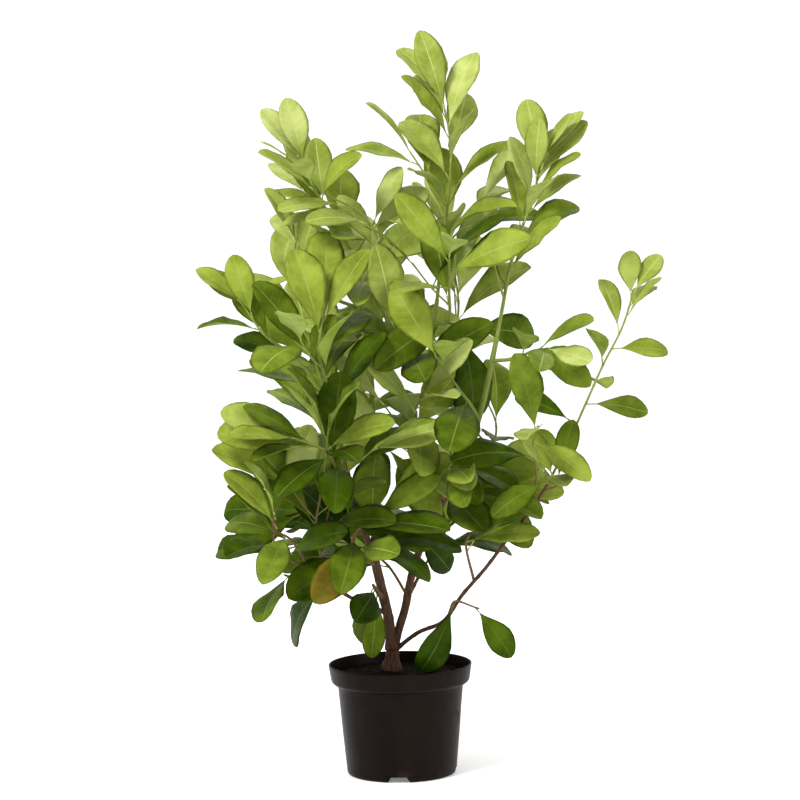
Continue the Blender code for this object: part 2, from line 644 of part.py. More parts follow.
def mesh_object(name, points, faces, material, collection=None):
    """A new object of the points and faces, in the given collection or in the scene's own."""
    mesh = bpy.data.meshes.new(name)
    mesh.from_pydata(points.tolist(), [], faces)
    if material:
        mesh.materials.append(material)
    mesh.update()
    piece = bpy.data.objects.new(name, mesh)
    (collection or bpy.context.scene.collection).objects.link(piece)
    return piece


def combine(piece, shapes, operation):
    """Union with, or difference from, all the shapes at once, applied; the shapes are then removed."""
    if not shapes:
        return
    others = bpy.data.collections.new("shapes")
    bpy.context.scene.collection.children.link(others)
    for number, (points, faces) in enumerate(shapes):
        mesh_object(f"shape_{number}", points, faces, None, others)
    step = piece.modifiers.new("combine", "BOOLEAN")
    step.operation = operation
    step.operand_type = "COLLECTION"
    step.collection = others
    step.solver = "EXACT"
    graph = bpy.context.evaluated_depsgraph_get()
    joined = bpy.data.meshes.new_from_object(piece.evaluated_get(graph))
    piece.modifiers.clear()
    piece.data = joined
    for shape in list(others.objects):
        bpy.data.objects.remove(shape)
    bpy.data.collections.remove(others)


def keep_largest(piece):
    """Drop loose scraps: only the connected body with the most faces stays."""
    shape = bmesh.new()
    shape.from_mesh(piece.data)
    shape.verts.ensure_lookup_table()
    seen = set()
    bodies = []
    for start in shape.verts:
        if start in seen:
            continue
        body = [start]
        seen.add(start)
        for vert in body:
            for edge in vert.link_edges:
                other = edge.other_vert(vert)
                if other not in seen:
                    seen.add(other)
                    body.append(other)
        bodies.append(body)
    bodies.sort(key=len, reverse=True)
    scraps = [vert for body in bodies[1:] for vert in body]
    if scraps:
        bmesh.ops.delete(shape, geom=scraps, context="VERTS")
        shape.to_mesh(piece.data)
    shape.free()


def round_shading(piece, degrees=40):
    """Smooth shading, with sharp edges kept past the given angle."""
    piece.data.shade_smooth()
    piece.data.set_sharp_from_angle(angle=math.radians(degrees))


def make_pot(plastic, compost):
    """The pot with its drain slots, and the root ball inside it."""
    pot = mesh_object("pot", *turned_profile(pot_profile(), POT_SEGMENTS), plastic)
    turns = [math.radians(FRONT_DRAIN_TURN + 360 * k / DRAIN_COUNT) for k in range(DRAIN_COUNT)]
    combine(pot, [drain_slot(turn) for turn in turns], "DIFFERENCE")
    round_shading(pot)
    soil = mesh_object("root_ball", *turned_profile(soil_profile(), SOIL_SEGMENTS), compost)
    round_shading(soil)


def make_limbs(paths, bark):
    """Every limb, cut clear of the limbs before it, so it sits on them like a saddle."""
    earlier = Space()
    fatter = {}
    for limb in LIMBS:
        path, radii = paths[limb.name]
        shape = tube(path, radii, LIMB_SIDES, not limb.parent)
        piece = mesh_object(limb.name, *shape, bark)
        near = [fatter[n] for n in fatter if not earlier.free(*shape, lambda owner, n=n: owner == n)]
        combine(piece, near, "DIFFERENCE")
        keep_largest(piece)
        round_shading(piece, 50)
        fatter[limb.name] = tube(lengthened(path, GAP), radii + GAP, LIMB_SIDES)
        earlier.add(limb.name, *fatter[limb.name])
    return earlier, fatter


def lengthened(path, more):
    """The path with both its ends moved outwards."""
    longer = path.copy()
    longer[0] -= more * unit(path[1] - path[0])
    longer[-1] += more * unit(path[-1] - path[-2])
    return longer


def make_masses(plant, limbs, fatter, greens):
    """Every mass of leaves: stem, twigs and leaves in one solid, cut clear of the limbs it meets."""
    for shoot in SHOOTS:
        stem, radii, twigs, leaves = plant[shoot.name]
        shape = tube(stem, radii, STEM_SIDES)
        green = greens[min(len(greens) - 1, int(shoot.tone * len(greens)))]
        piece = mesh_object("leaves_" + shoot.name, *shape, green)
        shapes = [tube(path, sizes, STEM_SIDES) for path, sizes in twigs]
        combine(piece, shapes + [leaf_solid(leaf) for leaf in leaves], "UNION")
        near = [fatter[n] for n in fatter if not limbs.free(*shape, lambda owner, n=n: owner == n)]
        combine(piece, near, "DIFFERENCE")
        keep_largest(piece)


def main():
    """Clear the scene, then make the pot, the limbs and the masses of leaves."""
    for piece in list(bpy.data.objects):
        bpy.data.objects.remove(piece)
    plastic = plain_material("pot_plastic", (0.022, 0.018, 0.016), 0.42)
    compost = plain_material("compost", (0.012, 0.008, 0.006), 0.95)
    bark = plain_material("bark", (0.085, 0.040, 0.028), 0.75)
    greens = [plain_material(f"leaf_green_{k}", colour, 0.45) for k, colour in enumerate(LEAF_GREENS)]
    paths, plant = grow_plant()
    make_pot(plastic, compost)
    limbs, fatter = make_limbs(paths, bark)
    make_masses(plant, limbs, fatter, greens)


main()
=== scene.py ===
"""A cherry laurel in a round nursery pot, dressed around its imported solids.

The limbs, stems and leaves grow by the same rule, routes and seeds as the solids, so every leaf
of the scene lies where its solid lies. Each surface is then worked out again on a fine grid.
Sizes are in metres and angles in degrees where nothing else is said.
"""
import json
import math
import random
from collections import namedtuple

import bpy
import numpy as np
from mathutils import Matrix
from mathutils.bvhtree import BVHTree

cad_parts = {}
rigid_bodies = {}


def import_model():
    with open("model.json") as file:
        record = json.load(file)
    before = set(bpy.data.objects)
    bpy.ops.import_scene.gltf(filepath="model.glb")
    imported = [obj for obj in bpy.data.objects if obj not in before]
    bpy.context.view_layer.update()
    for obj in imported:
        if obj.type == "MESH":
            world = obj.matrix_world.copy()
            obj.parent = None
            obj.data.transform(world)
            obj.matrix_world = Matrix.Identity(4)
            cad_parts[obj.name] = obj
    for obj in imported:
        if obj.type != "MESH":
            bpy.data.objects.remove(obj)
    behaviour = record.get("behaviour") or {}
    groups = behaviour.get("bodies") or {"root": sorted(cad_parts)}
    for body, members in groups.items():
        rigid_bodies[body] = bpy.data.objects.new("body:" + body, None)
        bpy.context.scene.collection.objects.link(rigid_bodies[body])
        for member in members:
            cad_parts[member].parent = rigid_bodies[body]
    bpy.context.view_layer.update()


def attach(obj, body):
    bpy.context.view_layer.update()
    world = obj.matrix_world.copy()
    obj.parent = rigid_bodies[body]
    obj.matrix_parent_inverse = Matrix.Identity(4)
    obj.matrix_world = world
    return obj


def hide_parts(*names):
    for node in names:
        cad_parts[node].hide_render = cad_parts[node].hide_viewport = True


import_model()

# Pot: a 5 litre nursery container
POT_HEIGHT = 0.174
RIM_RADIUS = 0.1125
RIM_BAND_HEIGHT = 0.032
RIM_BAND_CURVE = 0.010
RIM_BAND_FOOT_RADIUS = 0.1093
BODY_TOP_RADIUS = 0.0985
BODY_FOOT_RADIUS = 0.0865
FOOT_ROUND = 0.006
WALL = 0.0025
FLOOR_THICKNESS = 0.011
DRAIN_COUNT = 4
DRAIN_HEIGHT = 0.009
DRAIN_TOP_WIDTH = 0.023
DRAIN_FOOT_WIDTH = 0.036
DRAIN_INNER_RADIUS = 0.045
FRONT_DRAIN_TURN = 266.6
SOIL_TOP = 0.157
GAP = 0.0003
SOIL_CLEARANCE = 0.0006
BAND_FOOT = POT_HEIGHT - RIM_BAND_HEIGHT

# Limbs, stems and side twigs
CURVE_STEPS = 24
START_SIDE = (0.31, 0.95, 0.05)
LIMB_SIDES = 7
STEM_SIDES = 4
LIMB_STEP = 0.06
STEM_STEP = 0.06
ROOT_FLARE = 0.55
FLARE_LENGTH = 0.012
STEM_FOOT_SHARE = 0.85
STEM_FOOT_RADIUS = 0.0032
BUD_RADIUS = 0.0013
TWIG_POINTS = 3
TWIG_FOOT_SHARE = 0.72
TWIG_TIP_RADIUS = 0.0012
TWIG_SHARE = 0.34
TWIG_SHORTEST = 0.05
TWIG_LONGEST = 0.085
TWIG_LENGTH_VARIES = (0.85, 0.3)
TWIG_CURVE = 0.22
TWIG_START = 0.22
TWIG_STRETCH = 0.5
TWIG_START_VARIES = 0.06
TWIG_TURN = 75
TWIG_TURN_VARIES = 30
TWIG_LEAN = 0.75
TWIG_PHASE_STEP = 50

# Leaves: a pair named VARIES or WITH_AGE is a start and what a share from 0 to 1 adds to it
GOLDEN_ANGLE = 137.5
FIRST_LEAF = 0.3
SPARSE_LEAVES = 4
FIRST_LEAF_OF_SPARSE = 0.45
FIRST_LEAF_OF_TWIG = 0.5
SIDE_TWIG_LEAVES = 3
LEAF_CROWDING = 1.4
LEAF_TURN_VARIES = 16
TILT_VARIES = (0.85, 0.3)
PETIOLE = 0.014
PETIOLE_WITH_AGE = (0.7, 0.5)
PETIOLE_RADIUS = 0.0008
ROOT_SINK = 0.0015
LEAF_THICKNESS = 0.016
LEAF_WIDEST = 1.4
LEAF_TAPER = 1.0
LEAF_ROUNDNESS = 0.48
LEAF_RINGS = (0.44, 0.82)
RING_FILL = 1.05
LENGTH_WITH_AGE = (0.9, 0.2)
LENGTH_VARIES = (0.9, 0.2)
WIDTH_VARIES = (0.43, 0.10)
FOLD_VARIES = (14, 16)
LEAF_BEND = 0.25
LEAF_BEND_WITH_AGE = 0.65
LEAF_BEND_VARIES = 0.20
TOWARDS_LIGHT = (0.0, -0.5, 0.7)
TOWARDS_TIP = 0.4
FACE_TOO_SHORT = 0.2
FACE_ROLL_VARIES = 50
YOUNG_DROOP = 0.3
YOUNG_TONE = 0.25
OLD_TONE = 0.15
TONE_VARIES = 0.3
CLEARANCE = 0.0006
TRIES = ((0, 0), (14, -4), (-14, 4), (28, -8), (-28, 8), (42, -12), (-42, 12), (60, 0), (-60, 0))

# Fine bark: each layer of ridges has lattice points around, fewest along, length and relief
BARK_STEP = 0.003
BARK_AROUND = 24
BARK_RIDGES = ((9, 4, 0.018, 0.05), (16, 6, 0.006, 0.028))
SCAR_SPACING = 0.032
SCAR_FREE_END = 0.01
SCAR_LENGTH = 0.0035
SCAR_AROUND = (0.35, 0.65)
SCAR_HEIGHT = 0.22
SCAR_LIMB_RADIUS = 0.004
COLLAR = 0.5
COLLAR_LENGTH = 0.013
SUNK_FOOT = 0.008

# Fine stems
STEM_FINE_STEP = 0.005
STEM_AROUND = 10
NODE_SWELLING = 0.3
NODE_LENGTH = 0.003
BUD_LENGTH = 0.009
TWIG_BUD_SHARE = 0.7
BUD_ROWS = 6
POINT_LENGTH = 0.0006
GREEN_WOOD_HEIGHTS = (0.40, 0.60)

# Fine leaves: two numbers are the least and the most
LEAF_SEED = 500
BLADE_ROWS = 12
BLADE_COLUMNS = np.array((-1.0, -0.72, -0.32, -0.034, 0.034, 0.32, 0.72, 1.0))
STALK_SHARES = np.array((0.0, 0.15, 0.6, 0.98))
STALK_RADII = np.array((0.0016, 0.0012, 0.0009, 0.0011))
BLADE_TWIST = 0.22
BLADE_ARCH = (0.08, 0.26)
LOPSIDED = 0.05
FOLD_SOFTNESS = 0.10
EDGE_MARGIN = 0.0004
EDGE_WAVES = (1.2, 2.6)
EDGE_WAVE_HEIGHT = (0.03, 0.11)
BLADE_THICKNESS = 0.00032
RIB_WIDTH = 0.0011
RIB_HEIGHT = 0.0011
GROOVE_DEPTH = 0.00035
VEIN_PAIRS = 9.0

# Fine pot and compost: each layer of lumps has a size, a depth and a seed
POT_AROUND = 320
POT_UNEVENNESS = 0.00025
POT_NOISE_SHAPE = (14, 6)
POT_SEED = 71
SLOT_END_LENGTH = 0.003
SOIL_ROWS = 60
SOIL_AROUND = 200
SOIL_LUMPS = ((0.024, 0.0016, 81), (0.008, 0.0012, 82), (0.0035, 0.0009, 83))
SOIL_MOUND = 0.003
SOIL_MOUND_WIDTH = 0.025

# Screen colours, dark and light, of the upper side of leaves from the darkest to the freshest,
# with each one's roughness; then of undersides, and of midribs with their stalks
# A leaf takes its greens by its tone, so the darkest ones are partly painted shade on the low shoots.
UPPER_GREENS = (
    ((28, 45, 2), (46, 66, 5), 0.38),
    ((40, 59, 3), (66, 86, 10), 0.40),
    ((58, 76, 9), (88, 106, 22), 0.42),
    ((82, 100, 23), (114, 131, 39), 0.44),
    ((106, 121, 36), (138, 152, 56), 0.46),
    ((124, 138, 52), (153, 166, 80), 0.48),
    ((143, 155, 70), (174, 184, 108), 0.50),
)
UNDER_GREENS = (
    ((90, 107, 34), (116, 132, 52)),
    ((111, 127, 48), (139, 154, 68)),
    ((134, 148, 68), (162, 175, 94)),
)
RIB_GREENS = (
    ((58, 76, 18), (78, 95, 32)),
    ((88, 105, 34), (110, 126, 50)),
    ((124, 139, 58), (150, 164, 82)),
    ((160, 171, 88), (188, 197, 118)),
)
# One old leaf low in the crown is turning yellow: its colours and roughness, and where it hangs
TURNING_LEAF = ((84, 74, 16), (108, 96, 30), 0.5)
TURNING_LEAF_PLACE = (-0.084, -0.155, 0.351)
TURNING_LEAF_REACH = 0.010

# Studio: floor with bend and wall, then lamps as name, place, width and power, then the camera
FLOOR_WHITE = (0.97, 0.97, 0.97, 1.0)
FLOOR_GLOW = 0.2
FLOOR_WIDTH = 16
FLOOR_COLUMNS = 17
FLOOR_FRONT = -14
FLOOR_BACK = 6
BEND_RADIUS = 5
WALL_HEIGHTS = (7, 10, 14, 20)
WORLD_STRENGTH = 0.8
LAMPS = (
    ("key", (-1.9, -2.3, 3.6), 1.4, 170.0),
    ("fill", (2.8, -1.7, 1.0), 1.6, 24.0),
    ("back", (0.6, 2.4, 3.0), 2.0, 30.0),
)
LAMP_TARGET = (0, 0, 0.6)
CAMERA_PLACE = (0.0079, -4.97, 1.0505)
CAMERA_PITCH = 5.307
CAMERA_ROLL = 1.1
CAMERA_LENS = 144.0
CAMERA_SENSOR = 36.0

Limb = namedtuple("Limb", "name parent at radii route")
SHOOT_FIELDS = "limb name at leaves twigs length tone phase spread seed route droop"
Shoot = namedtuple("Shoot", SHOOT_FIELDS, defaults=(0.15,))
Leaf = namedtuple("Leaf", "root heading face length width petiole bend fold tone")

# Each limb: its parent, the share of the parent where it starts, its radii, and its route in mm
LIMBS = (
    Limb("trunk", None, 0, (0.0105, 0.0092), (
        (-14, 20, 1000 * (SOIL_TOP + GAP)), (-12, 20, 183), (-10, 18, 206),
    )),
    Limb("stem_left", "trunk", 0.75, (0.0086, 0.0072), ((-20, 12, 264), (-33, 0, 319), (-40, -4, 354))),
    Limb("stem_right", "trunk", 0.8, (0.0068, 0.004), (
        (9, 20, 255), (23, 20, 318), (37, 15, 358), (69, 0, 423), (96, -20, 472), (115, -30, 522),
        (135, -40, 582), (159, -50, 687),
    )),
    Limb("stem_left_front", "stem_left", 0.96, (0.0054, 0.0036), (
        (-58, -20, 404), (-77, -45, 473), (-86, -60, 534), (-95, -70, 585),
    )),
    Limb("stem_left_back", "stem_left", 0.93, (0.0058, 0.0036), (
        (-35, 12, 396), (-31, 30, 460), (-36, 45, 522), (-36, 50, 585), (-41, 55, 664), (-61, 50, 743),
    )),
    Limb("leader", "stem_right", 0.36, (0.005, 0.0034), (
        (33, 30, 412), (37, 35, 474), (45, 35, 569), (55, 30, 648), (69, 20, 743),
    )),
    Limb("bough_low_right", "trunk", 0.62, (0.0034, 0.0024), (
        (24, 0, 219), (64, -30, 239), (92, -50, 280), (127, -60, 320), (166, -70, 372), (210, -70, 424),
        (237, -70, 467),
    )),
    Limb("bough_low_left", "stem_left", 0.35, (0.0032, 0.0024), (
        (-61, -10, 273), (-99, -40, 301), (-147, -70, 339),
    )),
    Limb("bough_rear_left", "stem_left", 0.8, (0.0042, 0.003), (
        (-52, 70, 368), (-72, 130, 433), (-87, 170, 510),
    )),
    Limb("bough_rear_right", "stem_right", 0.42, (0.0042, 0.003), (
        (55, 90, 387), (80, 150, 460), (92, 190, 537),
    )),
    Limb("bough_rear_low", "trunk", 0.9, (0.0034, 0.0026), ((1, 70, 234), (21, 130, 269), (43, 170, 304))),
)

# The shoots on each limb: the share of it where they start, their leaves and side twigs, the leaf
# length in mm, the tone from dark to lime, the first leaf's turn, the leaves' tilt at the foot and
# at the tip, the seed, the route in mm, and how much the leaves hang where that isn't the default
# The tone is partly the leaves' own colour and partly painted shade: shoots low in the crown and inside it,
# where the crown shades itself, have darker tones.
SHOOT_ROWS = {
    "stem_left_back": (
        ("top_left", 1.0, 8, 3, 98, 0.78, 350, (35, 8), 299,
         ((-74, 45, 804), (-93, 40, 870), (-117, 32, 917), (-139, 20, 965))),
        ("top_left_inner", 0.93, 12, 0, 102, 0.74, 350, (60, 12), 883,
         ((-48, 20, 761), (-18, -17, 851), (-98, -11, 910))),
        ("upper_left", 0.97, 8, 0, 92, 0.86, 10, (50, 8), 776,
         ((-91, 20, 746), (-148, 15, 804), (-153, 22, 858))),
        ("back_centre", 0.75, 8, 2, 122, 0.87, 100, (40, 8), 942,
         ((-26, 100, 644), (-7, 108, 693), (-46, 176, 787))),
        ("centre_left", 0.45, 5, 0, 128, 0.76, 10, (40, 8), 243, ((-28, 11, 523), (17, -20, 515))),
    ),
    "bough_rear_left": (
        ("rear_left_top", 1.0, 8, 2, 128, 0.53, 300, (45, 16), 161,
         ((-100, 190, 581), (-124, 207, 653), (-150, 190, 737))),
        ("rear_left_side", 0.75, 7, 1, 123, 0.48, 20, (60, 8), 164,
         ((-115, 190, 508), (-126, 268, 527), (-134, 245, 544))),
        ("rear_left_low", 0.35, 6, 1, 128, 0.16, 110, (40, 8), 727,
         ((-108, 100, 357), (-124, 160, 411), (-165, 139, 391))),
    ),
    "stem_left_front": (
        ("mid_left", 1.0, 8, 0, 88, 0.4, 80, (50, 16), 881,
         ((-117, -80, 622), (-158, -110, 674), (-190, -135, 698), (-229, -130, 753))),
        ("mid_left_inner", 0.7, 10, 2, 122, 0.49, 130, (35, 8), 101,
         ((-94, -110, 593), (-114, -135, 689), (-91, -81, 776))),
        ("left_front", 0.5, 10, 0, 115, 0.38, 0, (40, 8), 426,
         ((-94, -80, 498), (-105, -129, 525), (-155, -148, 548))),
    ),
    "bough_low_left": (
        ("left_rising", 0.7, 14, 3, 122, 0.48, 80, (40, 16), 442,
         ((-125, -90, 399), (-114, -95, 463), (-100, -127, 575))),
        ("left_lime", 0.9, 7, 0, 109, 0.62, 210, (50, 20), 40,
         ((-172, -100, 401), (-191, -138, 418), (-170, -136, 468))),
        ("low_left_tip", 1.0, 8, 0, 99, 0.29, 80, (60, 8), 248,
         ((-174, -85, 356), (-202, -120, 400), (-186, -118, 415))),
        ("low_left_hanging", 0.45, 2, 0, 117, 0.02, 200, (80, 45), 969,
         ((-100, -45, 302), (-170, -80, 327)), 0.9),
    ),
    "stem_left": (
        ("low_front_left", 0.5, 3, 0, 104, 0.03, 220, (80, 50), 994, ((-46, -45, 313), (-33, -47, 291)), 0.9),
        ("inner_left", 0.85, 13, 2, 128, 0.27, 160, (70, 16), 478, ((-75, -77, 374), (-23, -93, 431))),
    ),
    "leader": (
        ("top", 1.0, 13, 2, 111, 0.71, 50, (35, 20), 506, ((78, 10, 821), (94, -24, 965), (82, -5, 1056))),
        ("leader_front", 0.8, 4, 2, 128, 0.58, 60, (75, 12), 857,
         ((27, -10, 613), (21, -43, 662), (-13, -59, 732))),
        ("leader_right", 0.9, 6, 2, 128, 0.48, 40, (60, 25), 131,
         ((83, 0, 689), (86, -39, 741), (87, -110, 818))),
        ("centre_front", 0.45, 13, 2, 120, 0.82, 30, (75, 25), 565,
         ((25, -20, 512), (16, -8, 535), (44, -60, 602))),
        ("centre_low", 0.15, 6, 0, 97, 0.24, 250, (65, 12), 924, ((13, -3, 354), (-33, -56, 402))),
    ),
    "bough_rear_right": (
        ("rear_right_top", 1.0, 10, 2, 128, 0.94, 140, (45, 12), 228,
         ((93, 200, 617), (106, 220, 725), (87, 163, 840))),
        ("rear_right_side", 0.75, 5, 2, 121, 0.42, 30, (40, 12), 573,
         ((120, 200, 470), (168, 253, 500), (145, 279, 570))),
    ),
    "bough_rear_low": (
        ("rear_low_right", 1.0, 6, 1, 128, 0.42, 260, (40, 25), 129, ((57, 201, 318), (89, 221, 370))),
        ("rear_low_left", 0.6, 6, 0, 128, 0.27, 310, (50, 8), 811, ((-41, 149, 331), (-133, 204, 341))),
    ),
    "stem_right": (
        ("top_right", 1.0, 16, 1, 102, 0.68, 250, (35, 20), 991,
         ((174, -50, 760), (188, -40, 821), (215, -39, 890), (231, -50, 956))),
        ("right_upper", 0.93, 6, 0, 101, 0.47, 170, (40, 20), 653,
         ((178, -80, 655), (207, -110, 669), (230, -170, 678))),
        ("right_inner", 0.72, 6, 0, 128, 0.44, 210, (55, 30), 381, ((138, -40, 547), (66, -126, 663))),
        ("right_front", 0.58, 13, 0, 100, 0.55, 110, (40, 12), 828, ((87, -84, 501), (85, -90, 493))),
        ("right_low", 0.48, 12, 0, 128, 0.47, 220, (50, 8), 762, ((49, -11, 436), (131, -36, 455))),
    ),
    "bough_low_right": (
        ("right_tip", 1.0, 10, 0, 80, 0.56, 270, (75, 12), 603,
         ((264, -70, 521), (293, -65, 582), (329, -60, 658), (366, -57, 727), (371, -35, 751))),
        ("right_side", 0.86, 5, 0, 114, 0.46, 140, (70, 30), 718,
         ((216, -90, 485), (208, -120, 540), (215, -156, 557))),
        ("right_outer", 0.95, 4, 1, 84, 0.48, 250, (55, 25), 508, ((254, -100, 467), (236, -86, 474))),
        ("low_right_twig", 0.5, 10, 0, 105, 0.62, 280, (35, 20), 150,
         ((107, -70, 361), (108, -87, 401), (130, -115, 404))),
        ("low_right_front", 0.33, 2, 0, 98, 0.06, 340, (75, 40), 139,
         ((91, -90, 286), (118, -117, 278)), 0.7),
    ),
}
SHOOTS = [Shoot(limb, *row) for limb, rows in SHOOT_ROWS.items() for row in rows]


def unit(vector):
    """The vector made one long."""
    return vector / np.linalg.norm(vector)


def ramp(pair, share):
    """The pair's first number plus its second times the share."""
    return pair[0] + pair[1] * share


def metres(route):
    """The points of a route that is given in millimetres."""
    return [(x / 1000, y / 1000, z / 1000) for x, y, z in route]


def turned(vector, axis, degrees):
    """The vector turned about a unit axis, by the rotation formula of Rodrigues."""
    angle = math.radians(degrees)
    along = axis * axis.dot(vector)
    return along + (vector - along) * math.cos(angle) + np.cross(axis, vector) * math.sin(angle)


def front_of(axis):
    """The direction square to a unit axis that faces the front most: the front less its part along it."""
    return unit(np.array((0.0, -1.0, 0.0)) + axis * axis[1])


def round_turn(count):
    """Angles at even steps of a full turn."""
    return np.arange(count) * 2 * math.pi / count


def smooth_step(value):
    """3x^2 - 2x^3 on 0 to 1, held at its ends."""
    value = np.clip(value, 0, 1)
    return value * value * (3 - 2 * value)


def smooth_route(points, step):
    """A Catmull-Rom curve through the points, read at even steps along its length."""
    knots = np.array(points, float)
    padded = np.vstack((2 * knots[0] - knots[1], knots, 2 * knots[-1] - knots[-2]))
    t = np.linspace(0, 1, CURVE_STEPS, endpoint=False)[:, None]
    pieces = []
    for a, b, c, d in zip(padded, padded[1:], padded[2:], padded[3:]):
        bend = (2 * a - 5 * b + 4 * c - d) * t**2 + (3 * b - a - 3 * c + d) * t**3
        pieces.append(0.5 * (2 * b + (c - a) * t + bend))
    fine = np.vstack(pieces + [knots[-1:]])
    along = np.append(0, np.cumsum(np.linalg.norm(np.diff(fine, axis=0), axis=1)))
    count = max(3, round(along[-1] / step) + 1)
    even = np.linspace(0, along[-1], count)
    return np.stack([np.interp(even, along, fine[:, axis]) for axis in range(3)], axis=1)


def at_share(path, share):
    """The point and the unit direction at a share of the path, from 0 at its foot to 1 at its tip."""
    place = share * (len(path) - 1)
    index = min(int(place), len(path) - 2)
    step = path[index + 1] - path[index]
    return path[index] + step * (place - index), unit(step)


def radius_at(radii, share):
    """The radius at a share of a path, between the radii at its points."""
    return np.interp(share, np.linspace(0, 1, len(radii)), radii)


def tapered(foot, tip, count):
    """Radii that change evenly from foot to tip."""
    return foot + (tip - foot) * np.linspace(0, 1, count)


def limb_paths():
    """Each limb's path and its radii; a limb starts on its parent's axis at the given share of it."""
    paths = {}
    for limb in LIMBS:
        route = metres(limb.route)
        if limb.parent:
            route.insert(0, at_share(paths[limb.parent][0], limb.at)[0])
        path = smooth_route(route, LIMB_STEP if limb.parent else LIMB_STEP / 4)
        radii = tapered(*limb.radii, len(path))
        if not limb.parent:
            height = path[:, 2] - path[0, 2]
            radii = radii * (1 + ROOT_FLARE * np.exp(-height / FLARE_LENGTH))
        paths[limb.name] = (path, radii)
    return paths


def stem_path(shoot, paths):
    """A shoot's stem: it grows on from its limb's tip, or out of the limb's side, and thins to its bud."""
    path, radii = paths[shoot.limb]
    start, direction = at_share(path, shoot.at)
    if shoot.at == 1:
        start = start - direction * radii[-1]
    stem = smooth_route([start] + metres(shoot.route), STEM_STEP)
    foot = min(STEM_FOOT_SHARE * radius_at(radii, shoot.at), STEM_FOOT_RADIUS)
    return stem, tapered(foot, BUD_RADIUS, len(stem))


def leaf_half_width(share):
    """Half the blade's width over its greatest half width: a sine hump, widest past the middle.

    Its power falls from foot to tip, so that the foot is tapered and the tip is round.
    """
    share = np.asarray(share, float)
    return np.sin(math.pi * share**LEAF_WIDEST)**(LEAF_TAPER - LEAF_ROUNDNESS * share)


def leaf_midrib(leaf, share):
    """Points of the midrib, which bends away from the face on a round arc, and the face there.

    It takes one leaf, or many at once where each of the leaf's values is an array (leaf, 1, value).
    """
    share = np.asarray(share, float)[:, None]
    angle = leaf.bend * share
    forward = np.sin(angle) / leaf.bend
    down = (1 - np.cos(angle)) / leaf.bend
    blade = leaf.root + leaf.petiole * leaf.heading
    points = blade + leaf.length * (forward * leaf.heading - down * leaf.face)
    return points, np.cos(angle) * leaf.face + np.sin(angle) * leaf.heading


def leaf_solid(leaf, grow=0.0, stalk=1.0):
    """Points and faces of a leaf's solid: a stalk, and a blade of lens section folded along its midrib.

    The stalk's foot has three corners. Each ring of the blade has a left edge, a top, a right edge
    and an underside, and the tip is one point. grow makes the solid fatter all round, and stalk is
    the share of the leaf stalk that it has.
    """
    side = np.cross(leaf.heading, leaf.face)
    rise = math.sin(leaf.fold)
    spread = math.cos(leaf.fold)
    radius = PETIOLE_RADIUS + grow
    foot = leaf.root + (1 - stalk) * leaf.petiole * leaf.heading
    points = [foot + radius * side]
    points += [foot + radius * (sign * 0.87 * leaf.face - 0.5 * side) for sign in (1, -1)]
    middles, faces_up = leaf_midrib(leaf, LEAF_RINGS)
    halves = 0.5 * leaf.width * RING_FILL * leaf_half_width(LEAF_RINGS) + grow
    thick = 0.5 * LEAF_THICKNESS * leaf.length + grow
    for middle, up, half in zip(middles, faces_up, halves):
        points += [middle + half * (spread * side + rise * up), middle + thick * up]
        points += [middle + half * (rise * up - spread * side), middle - thick * up]
    points.append(leaf_midrib(leaf, (1.0,))[0][0] + grow * leaf.heading)
    faces = [(0, 1, 2), (0, 3, 4), (0, 4, 1), (1, 4, 5), (1, 5, 2), (2, 5, 6), (2, 6, 0), (0, 6, 3)]
    for k in range(4):
        a = 3 + k
        b = 3 + (k + 1) % 4
        odd = [(a, a + 4, b), (b, a + 4, b + 4)]
        even = [(a, a + 4, b + 4), (a, b + 4, b)]
        faces += odd if k % 2 else even
    faces += [(7 + k, 11, 7 + (k + 1) % 4) for k in range(4)]
    return np.array(points), faces


class Space:
    """What is already taken up: the box and the search tree of each solid, with its owner's name."""

    def __init__(self):
        self.lows = np.zeros((0, 3))
        self.highs = np.zeros((0, 3))
        self.trees = []
        self.owners = []

    def add(self, owner, points, faces):
        """Take up a solid's space."""
        self.lows = np.vstack((self.lows, points.min(axis=0)))
        self.highs = np.vstack((self.highs, points.max(axis=0)))
        self.trees.append(BVHTree.FromPolygons(points.tolist(), np.asarray(faces).tolist()))
        self.owners.append(owner)

    def free(self, points, faces, wanted):
        """True where the solid touches none of the solids whose owner is wanted."""
        apart = (points.min(axis=0) > self.highs) | (points.max(axis=0) < self.lows)
        near = [k for k in np.flatnonzero(~apart.any(axis=1)) if wanted(self.owners[k])]
        if not near:
            return True
        tree = BVHTree.FromPolygons(points.tolist(), np.asarray(faces).tolist())
        return not any(tree.overlap(self.trees[k]) for k in near)


def fits(space, owner, leaf):
    """True where the leaf is clear of every other mass and limb, and its blade of its own mass."""
    if not space.free(*leaf_solid(leaf, CLEARANCE), lambda name: name != owner):
        return False
    return space.free(*leaf_solid(leaf, CLEARANCE, 0.0), lambda name: name == owner)


